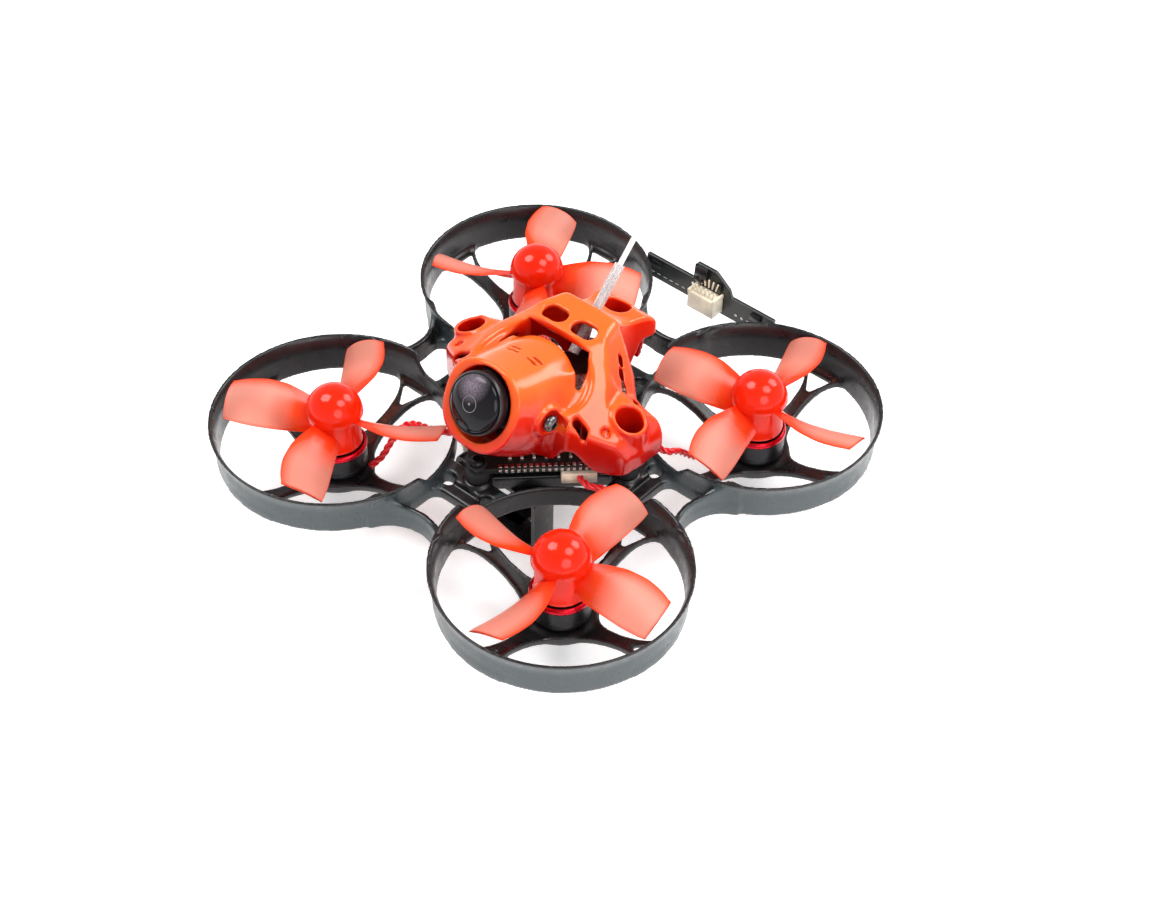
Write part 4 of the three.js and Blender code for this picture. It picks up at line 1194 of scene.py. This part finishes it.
def facet(x, y, sizes):
    start, from_x, from_y, along_x, along_y = sizes
    return start + along_x * (x - from_x) + along_y * (y - from_y)


def hood_places(y, h):
    """Place of each point along the lens axis and above it."""
    away_y = y - PIVOT.y
    away_h = h - (PIVOT.z - DUCT_BOTTOM)
    along = away_y * LENS_FORWARD.y + away_h * LENS_FORWARD.z
    above = away_y * LENS_UP.y + away_h * LENS_UP.z
    return along, above


def wing_form(beside, y, h):
    """The two wings and the front of the top platform."""
    front = soft_steps(beside, WING, 1, 0.5)
    rear = soft_steps(beside, WING, 2, 0.7)
    end = beside - 21.4 - 0.07 * y
    plan = both(both(front - y, y - rear, 0.8), end, 1.2)
    bite = np.minimum(vertical_hole(beside, y, *WAIST), np.maximum(y - 2.1, beside - WAIST[0]))
    shoulder = SHOULDER_TOP - 0.3 * (beside - POST) - 0.8 * np.maximum(y - 2.8, 0)
    behind = both(facet(beside, y, REAR_FACET), shoulder, 0.5)
    top = join(facet(beside, y, FRONT_FACET), behind, 0.5)
    top = join(top, facet(beside, y, END_FACET), 1.2)
    top = join(top, PLATFORM_TOP, 1.2)
    wing = both(cut(plan, bite, 0.5), (h - top) * 0.82, 0.9)
    cheek = both(both(-9.3 - y, y - 2.0, 0.8), beside - 12.5, 0.8)
    cheek = both(cheek, (h - facet(beside, y, FRONT_FACET) + CHEEK_DROP) * 0.82, 1.0)
    under_hood = both(both(y - 2.4, beside - 7.2, 0.6), 8 - h, 0.6)
    return cut(join(wing, cheek, 1.6), under_hood, 0.5)


def rear_arm_form(beside, y, h):
    half = soft_steps(y, REAR_ARM, 1, 1.0)
    top = soft_steps(y, REAR_ARM, 2, 0.9)
    arm = both(beside - half, (h - top) * 0.85, 1.0)
    return both(both(arm, 6 - y, 1.0), y - 21.9, 0.9)


def hood_form(beside, y, h):
    along, above = hood_places(y, h)
    width = soft_steps(along, HOOD, 1, 1.2)
    reach = np.where(above > 0, soft_steps(along, HOOD, 2, 1.2), soft_steps(along, HOOD, 3, 1.2))
    power = np.where(above > 0, 2.3, 2.5)
    ratio = ((beside / width) ** power + (np.abs(above) / reach) ** power) ** (1 / power)
    hood = (ratio - 1) * np.minimum(width, reach) * 0.9
    return both(both(hood, along - HOOD_FRONT, 0.5), y - HOOD_REAR + 0.035 * beside ** 2, 0.6)


def canopy_outside(x, y, h):
    """The outer form, the same on either side of the middle."""
    beside = np.abs(x)
    body = join(wing_form(beside, y, h), rear_arm_form(beside, y, h), 1.2)
    return join(body, hood_form(beside, y, h), 1.8)


def vertical_hole(x, y, centre_x, centre_y, radius):
    return np.hypot(x - centre_x, y - centre_y) - radius


def segment_distance(x, y, start, end):
    """Distance in plan from a straight piece of line."""
    run_x, run_y = end[0] - start[0], end[1] - start[1]
    share = ((x - start[0]) * run_x + (y - start[1]) * run_y) / (run_x ** 2 + run_y ** 2)
    share = np.clip(share, 0, 1)
    return np.hypot(x - start[0] - share * run_x, y - start[1] - share * run_y)


def cut_recesses(shell, outside, beside, y, h):
    """The screw recesses are cups let into the skin, with a floor over the flight board."""
    for spot_x, spot_y in ((POST, 0), (0, POST)):
        away = vertical_hole(beside, y, spot_x, spot_y, 0)
        brim = outside
        if spot_x:
            brim = np.minimum(outside, h - RECESS_BRIM + 0.4 * (beside - POST))
        boss = both(both(away - RECESS_RADIUS - 0.7, brim, 0.3), 7.2 - h, 0.3)
        shell = join(shell, boss, 0.6)
        shell = cut(shell, np.maximum(away - RECESS_RADIUS, RECESS_FLOOR - h), 0.45)
        shell = cut(shell, away - 0.95, 0.1)
    return shell


def cut_camera_openings(shell, x, y, h):
    """The hood's mouth, and the collars that the camera's two screws sit in."""
    beside = np.abs(x)
    along, above = hood_places(y, h)
    mouth = np.maximum(np.hypot(x * 1.08, above + MOUTH_DROP) - MOUTH_RADIUS, 1.0 - along)
    shell = cut(shell, mouth, 0.3)
    seat = np.hypot(y - PIVOT.y, h - (PIVOT.z - DUCT_BOTTOM))
    collar = both(both(seat - 2.7, np.abs(beside - 8.8) - 0.75, 0.3), along - 7.5, 0.4)
    shell = join(shell, collar, 0.8)
    shell = cut(shell, np.maximum(seat - 2.1, np.abs(beside - CAMERA_SCREW_SEAT - 1.15) - 1.4), 0.3)
    return cut(shell, np.maximum(seat - 0.9, beside - CAMERA_SCREW_SEAT - 1), 0.1)


def cut_wing_pockets(shell, beside, y, h):
    """The window and the small pocket near each wing's front edge, and the slots behind its ridge."""
    under_skin = facet(beside, y, FRONT_FACET) - 1.6 - h
    window = rounded_box(beside - 13.7 + 0.3 * (y + 7.4), y + 7.4, 1.5, 0.85, 0.6)
    shell = cut(shell, np.maximum(window, under_skin), 0.3)
    small = vertical_hole(beside, y, 17.0, -4.6, 0.75)
    shell = cut(shell, np.maximum(small, under_skin + 0.9), 0.25)
    for spot_x, spot_y in RIDGE_SLOTS:
        slit = segment_distance(beside, y, (spot_x - 0.45, spot_y + 0.4),
                                (spot_x + 0.45, spot_y - 0.4)) - 0.36
        shell = cut(shell, np.maximum(slit, 9 - h), 0.12)
    return shell


def cut_top_openings(shell, x, y, h):
    """The eyes in the platform, the slot and gaps round the hood's rear, the vents and the aerial."""
    beside = np.abs(x)
    eye = rounded_box(beside - 3.3, y - 5.4, 2.4, 1.7, 1.6)
    shell = cut(shell, np.maximum(eye, 19 - h), 0.5)
    slot = rounded_box(x, y - 1.7 + 0.035 * x ** 2, 7.4, 0.75, 0.5)
    shell = cut(shell, np.maximum(slot, 12 - h), 0.3)
    gap = segment_distance(beside, y, (6.9, 0.6), (8.9, -2.6))
    share = np.clip((0.6 - y) / 3.2, 0, 1)
    shell = cut(shell, np.maximum(gap - 1.15 + 0.75 * share, 13 - h), 0.35)
    along, above = hood_places(y, h)
    for row in (-1, 1):
        slit = rounded_box(beside - 2.3 - 0.2 * row, along + 0.7 + 0.6 * row, 1.15, 0.32, 0.15)
        shell = cut(shell, np.maximum(slit, 4 - above), 0.1)
    return cut(shell, np.maximum(aerial_distance(x, y, h) - 1.5, 14 - h), 0.3)


def lower_edge(x, y):
    """The canopy stands on the board, dips into two tongues and lifts between the lobes."""
    beside = np.abs(x)
    tongue = np.hypot(beside - 8.7, (y + 11.9)) / 2.2
    chin = np.hypot(x / 1.6, y + 15.0) / 2.4
    edge = SKIRT_EDGE - 2.4 * np.exp(-tongue ** 2) - 0.8 * np.exp(-chin ** 2)
    dip = np.hypot(beside - 13.0, y + 9.4) / 3.1
    arch = np.hypot((beside - 10.5) / 1.1, y - 12.0) / 4.6
    edge = edge + 4.4 * np.exp(-dip ** 2) + 6.4 * np.exp(-arch ** 4)
    return edge + 7.5 * np.clip((y - 15) / 3.5, 0, 1) * np.clip((beside - 3.0) / 1.5, 0, 1)


def canopy_field(x, y, h):
    """The hollow shell with its recesses and openings."""
    outside = canopy_outside(x, y, h)
    beside = np.abs(x)
    shell = both(outside, -(outside + CANOPY_WALL), 0.2)
    under_lip = rounded_box(x, y - 3.0, 6.8, 2.2, 0.5)
    shell = cut(shell, np.maximum(under_lip, np.abs(h - 17.4) - 5.3), 0.3)
    shell = cut_recesses(shell, outside, beside, y, h)
    shell = cut_camera_openings(shell, x, y, h)
    shell = cut_wing_pockets(shell, beside, y, h)
    shell = cut_top_openings(shell, x, y, h)
    return both(shell, lower_edge(x, y) - h, 0.25)


def aerial_distance(x, y, h):
    foot, tip = aerial_ends()
    line = (tip - foot).normalized()
    away = [x - foot.x, y - foot.y, h + DUCT_BOTTOM - foot.z]
    along = sum(part * component for part, component in zip(away, line))
    return np.sqrt(sum((part - along * component) ** 2 for part, component in zip(away, line)))


def mark_painted_light_and_shade(piece):
    """Painted light and shade: a mark that rises with height and on faces that look up."""
    spots, facing = vertex_places(piece)
    height = spots[:, 2] - DUCT_BOTTOM
    painted_light_and_shade = 0.4 * np.clip((height - 7) / 16, 0, 1) + 0.5 * np.clip(facing[:, 2], -0.4, 1)
    mark(piece, "painted_light_and_shade", np.clip(painted_light_and_shade, 0, 1))


def build_canopy(materials):
    step = CANOPY_STEP
    x = np.arange(-22.6, 22.6 + step, step)
    y = np.arange(CANOPY_LOW.y - 1.2, 23.0, step)
    h = np.arange(4.0, CANOPY_HIGH.z - DUCT_BOTTOM + 1.0, step)
    field = canopy_field(*np.meshgrid(x, y, h, indexing="ij"))
    origin = (x[0], y[0], h[0] + DUCT_BOTTOM)
    piece = field_object("canopy_shell", field, origin, step, materials["canopy"])
    mark_painted_light_and_shade(piece)
    soften(piece, 2)
    place(piece, "airframe", "canopy", "canopy")


# ------------------------------------------------------------------ aerial and rear light board
BRAID_STRANDS = 8
BRAID_STEPS = 90
BRAID_TURNS = 5


def aerial_ends():
    """The wire's foot and tip, read from the frame's box round the wire."""
    low, high = span("aerial_wire")
    thick = high.x
    lean = math.atan2(high.y - low.y, high.z - low.z)
    inset_y, inset_z = thick * math.cos(lean), thick * math.sin(lean)
    return (Vector((0, low.y + inset_y, low.z + inset_z)),
            Vector((0, high.y - inset_y, high.z - inset_z)))


def build_aerial(materials):
    foot, tip = aerial_ends()
    line = tip - foot
    there = Matrix.Translation(foot) @ upright_to(line.normalized())
    length = line.length
    turned_piece("aerial_core", materials["aerial"], "airframe", "aerial", [
        (0.3, 0), (0.42, 0.2), (0.42, 0.7 * length), (0.48, 0.72 * length),
        (0.48, length - 0.25), (0.3, length),
    ], 24, there, "aerial_wire", closed=False)

    braid = Shape()
    for strand in range(BRAID_STRANDS):
        way = 1 if strand % 2 else -1
        points = []
        for i in range(BRAID_STEPS):
            share = i / (BRAID_STEPS - 1)
            angle = 2 * math.pi * (strand / BRAID_STRANDS + way * share * BRAID_TURNS)
            points.append(Vector((0.58 * math.cos(angle), 0.58 * math.sin(angle),
                                  0.2 + share * 0.66 * length)))
        braid.rings(tube_rings(points, 0.07, 5))
    braid.moved(there)
    braid.finish("aerial_braid", materials["pad"], "airframe", "aerial")

    end = 0.76 * length
    turned_piece("aerial_clear_sleeve", materials["sleeve"], "airframe", "aerial",
                 [(0.72, 0), (0.95, 0), (0.95, end - 0.1), (0.9, end), (0.72, end)],
                 32, there, "aerial_sleeve", crease=CREASE)


def build_rear_socket(materials):
    """The open socket on the rear board, with two rows of upright pins."""
    centre = middle("rear_board_socket")
    socket = Shape()
    depth = SOCKET_HIGH.y - SOCKET_LOW.y
    soft_block(socket, (6.2, depth, 3.8), (centre.x, centre.y, centre.z - 0.2), 0.25)
    for sign in (-1, 1):
        soft_block(socket, (0.5, depth, 0.9), (centre.x + sign * 2.9, centre.y, SOCKET_HIGH.z - 0.4), 0.12)
    socket.finish("socket_body", materials["connector"], "airframe", "connector", "rear_board_socket",
                  crease=CREASE)
    pins = Shape()
    for count, away, rise in ((6, 2.4, 0.4), (5, 0.75, 1.3)):
        for i in range(count):
            spread = i - (count - 1) / 2
            first = len(pins.points)
            soft_block(pins, (0.28, 0.28, 1.9), (0, 0, 0), 0.06)
            lean = Matrix.Rotation(0.13 * spread, 4, "Y")
            spot = Vector((centre.x + 0.95 * spread, REAR_BOARD_LOW.y - away, SOCKET_HIGH.z + rise))
            pins.moved(Matrix.Translation(spot) @ lean, first)
    pins.finish("socket_pins", materials["connector"], "airframe", "connector")


def build_rear_board(materials):
    half = REAR_BOARD_HIGH.x
    low, top = REAR_BOARD_LOW.z, DUCT_BOTTOM + 7.4
    tab = REAR_BOARD_HIGH.z
    outline = [
        (-half, low), (half, low), (half, top), (5.2, top), (4.6, top + 1.4), (1.2, tab),
        (-3.2, tab), (-3.7, tab - 0.6), (-3.9, top), (-half, top),
    ]
    front, back = REAR_BOARD_LOW.y, REAR_BOARD_HIGH.y
    plate = Shape()
    plate.rings([[(x, y, z) for x, z in outline] for y in (back, front)])
    piece = plate.build("light_board_plate", materials["board"], smooth=False)
    edges = piece.modifiers.new("edges", "BEVEL")
    edges.width = 0.12 * MM
    edges.segments = 2
    place(piece, "airframe", "board", "rear_light_board")

    clip = Shape()
    soft_block(clip, (2.6, 1.0, 2.4), (-1.6, front - 0.45, tab - 1.3), 0.25)
    soft_block(clip, (1.8, 1.2, 0.9), (-2.0, front - 0.55, tab - 2.9), 0.2)
    soft_block(clip, (1.2, 0.7, 1.8), (2.4, front - 0.3, top + 1.0), 0.15)
    soft_block(clip, (2.4, 0.6, 1.2), (11.2, front - 0.25, top - 1.3), 0.15)
    soft_block(clip, (2.4, 0.6, 1.2), (-12.6, front - 0.25, top - 1.2), 0.15)
    clip.finish("light_board_clip", materials["camera"], "airframe", "board", crease=CREASE)

    ink = Shape()
    for i in range(7):
        soft_block(ink, (0.8, 0.05, 0.16), (-13.6 + 1.5 * i, front - 0.02, low + 1.4), 0.02)
    for i in range(4):
        soft_block(ink, (0.5, 0.05, 0.5), (6.6 + 1.4 * i, front - 0.02, low + 1.6), 0.02)
    ink.finish("light_board_marks", materials["ink"], "airframe", "board")

    lamps = Shape()
    for x in (-12.6, -8.8, 8.8, 12.6):
        soft_block(lamps, (2.8, 0.7, 2.8), (x, back + 0.3, low + 2.4), 0.2)
    lamps.finish("rear_lamps", materials["lamp"], "airframe", "board", crease=CREASE)



# ------------------------------------------------------------------ camera, light and floor
VIEW_AZIMUTH = math.radians(40.11)
VIEW_ELEVATION = math.radians(44.03)
VIEW_ROLL = math.radians(1.475)
VIEW_DISTANCE = 360.5
VIEW_AIM = Vector((7.1, -0.45, 13.1))
VIEW_LENS = 63.61
FLOOR_HALF = 4000
# Place in metres, size in metres and power in watts.
LIGHTS = [
    ("key", (-0.30, -0.10, 0.55), 0.34, 2.6),
    ("sheen", (0.26, 0.09, 0.54), 0.3, 1.5),
    ("fill", (0.45, -0.25, 0.30), 0.36, 1.1),
    ("back", (0.15, 0.50, 0.45), 0.34, 2.0),
]
LIGHT_AIM = Vector((0, 0, 0.01))


def build_view():
    level = math.cos(VIEW_ELEVATION)
    forward = Vector((-math.sin(VIEW_AZIMUTH) * level, math.cos(VIEW_AZIMUTH) * level,
                      -math.sin(VIEW_ELEVATION)))
    flat = Vector((math.cos(VIEW_AZIMUTH), math.sin(VIEW_AZIMUTH), 0))
    upright = flat.cross(forward)
    right = math.cos(VIEW_ROLL) * flat + math.sin(VIEW_ROLL) * upright
    up = right.cross(forward)
    data = bpy.data.cameras.new("view")
    data.lens = VIEW_LENS
    data.sensor_width = 36
    camera = linked("view", data)
    turn = Matrix((right, up, -forward)).transposed().to_4x4()
    camera.matrix_world = Matrix.Translation((VIEW_AIM - VIEW_DISTANCE * forward) * MM) @ turn
    bpy.context.scene.camera = camera


def area_light(name, spot, size, power):
    """A round lamp that looks at the craft."""
    data = bpy.data.lights.new(name, "AREA")
    data.shape = "DISK"
    data.size = size
    data.energy = power
    light = linked(name, data)
    light.location = spot
    light.rotation_euler = (LIGHT_AIM - Vector(spot)).to_track_quat("-Z", "Y").to_euler()


def build_studio():
    world = bpy.data.worlds.new("studio")
    world.use_nodes = True
    nodes, links = world.node_tree.nodes, world.node_tree.links
    background = nodes["Background"]
    background.inputs["Strength"].default_value = 0.9
    where = nodes.new("ShaderNodeTexCoord")
    parts = nodes.new("ShaderNodeSeparateXYZ")
    ramp = nodes.new("ShaderNodeValToRGB")
    ramp.color_ramp.elements[0].position = 0.0
    ramp.color_ramp.elements[0].color = (1, 1, 1, 1)
    ramp.color_ramp.elements[1].position = 0.75
    ramp.color_ramp.elements[1].color = (0.3, 0.3, 0.31, 1)
    links.new(where.outputs["Generated"], parts.inputs["Vector"])
    links.new(parts.outputs["Z"], ramp.inputs["Fac"])
    links.new(ramp.outputs["Color"], background.inputs["Color"])
    bpy.context.scene.world = world
    for name, spot, size, power in LIGHTS:
        area_light(name, spot, size, power)
    white = material("floor_white", (0.93, 0.93, 0.93), 0.6, Emission_Strength=0.4,
                     Emission_Color=(1, 1, 1, 1))
    points = [(sx * FLOOR_HALF, sy * FLOOR_HALF, 0) for sx, sy in ((-1, -1), (1, -1), (1, 1), (-1, 1))]
    floor = mesh_object("studio_floor", points, [(0, 1, 2, 3)], white, smooth=False)
    bpy.context.scene.view_settings.view_transform = "Standard"


# ------------------------------------------------------------------ assembly
def build_everything():
    materials = make_materials()
    build_view()
    build_studio()
    build_moulded_frame(materials)
    build_battery_tray(materials)
    for name, corner in CORNERS.items():
        build_motor(name, corner, materials)
        build_propeller(name, corner, materials)
        build_plug(name, materials)
        build_lead(name, materials)
    build_flight_board(materials)
    build_radio_board(materials)
    build_stack_hardware(materials)
    build_camera(materials)
    build_canopy(materials)
    build_aerial(materials)
    build_rear_board(materials)
    build_rear_socket(materials)


build_everything()
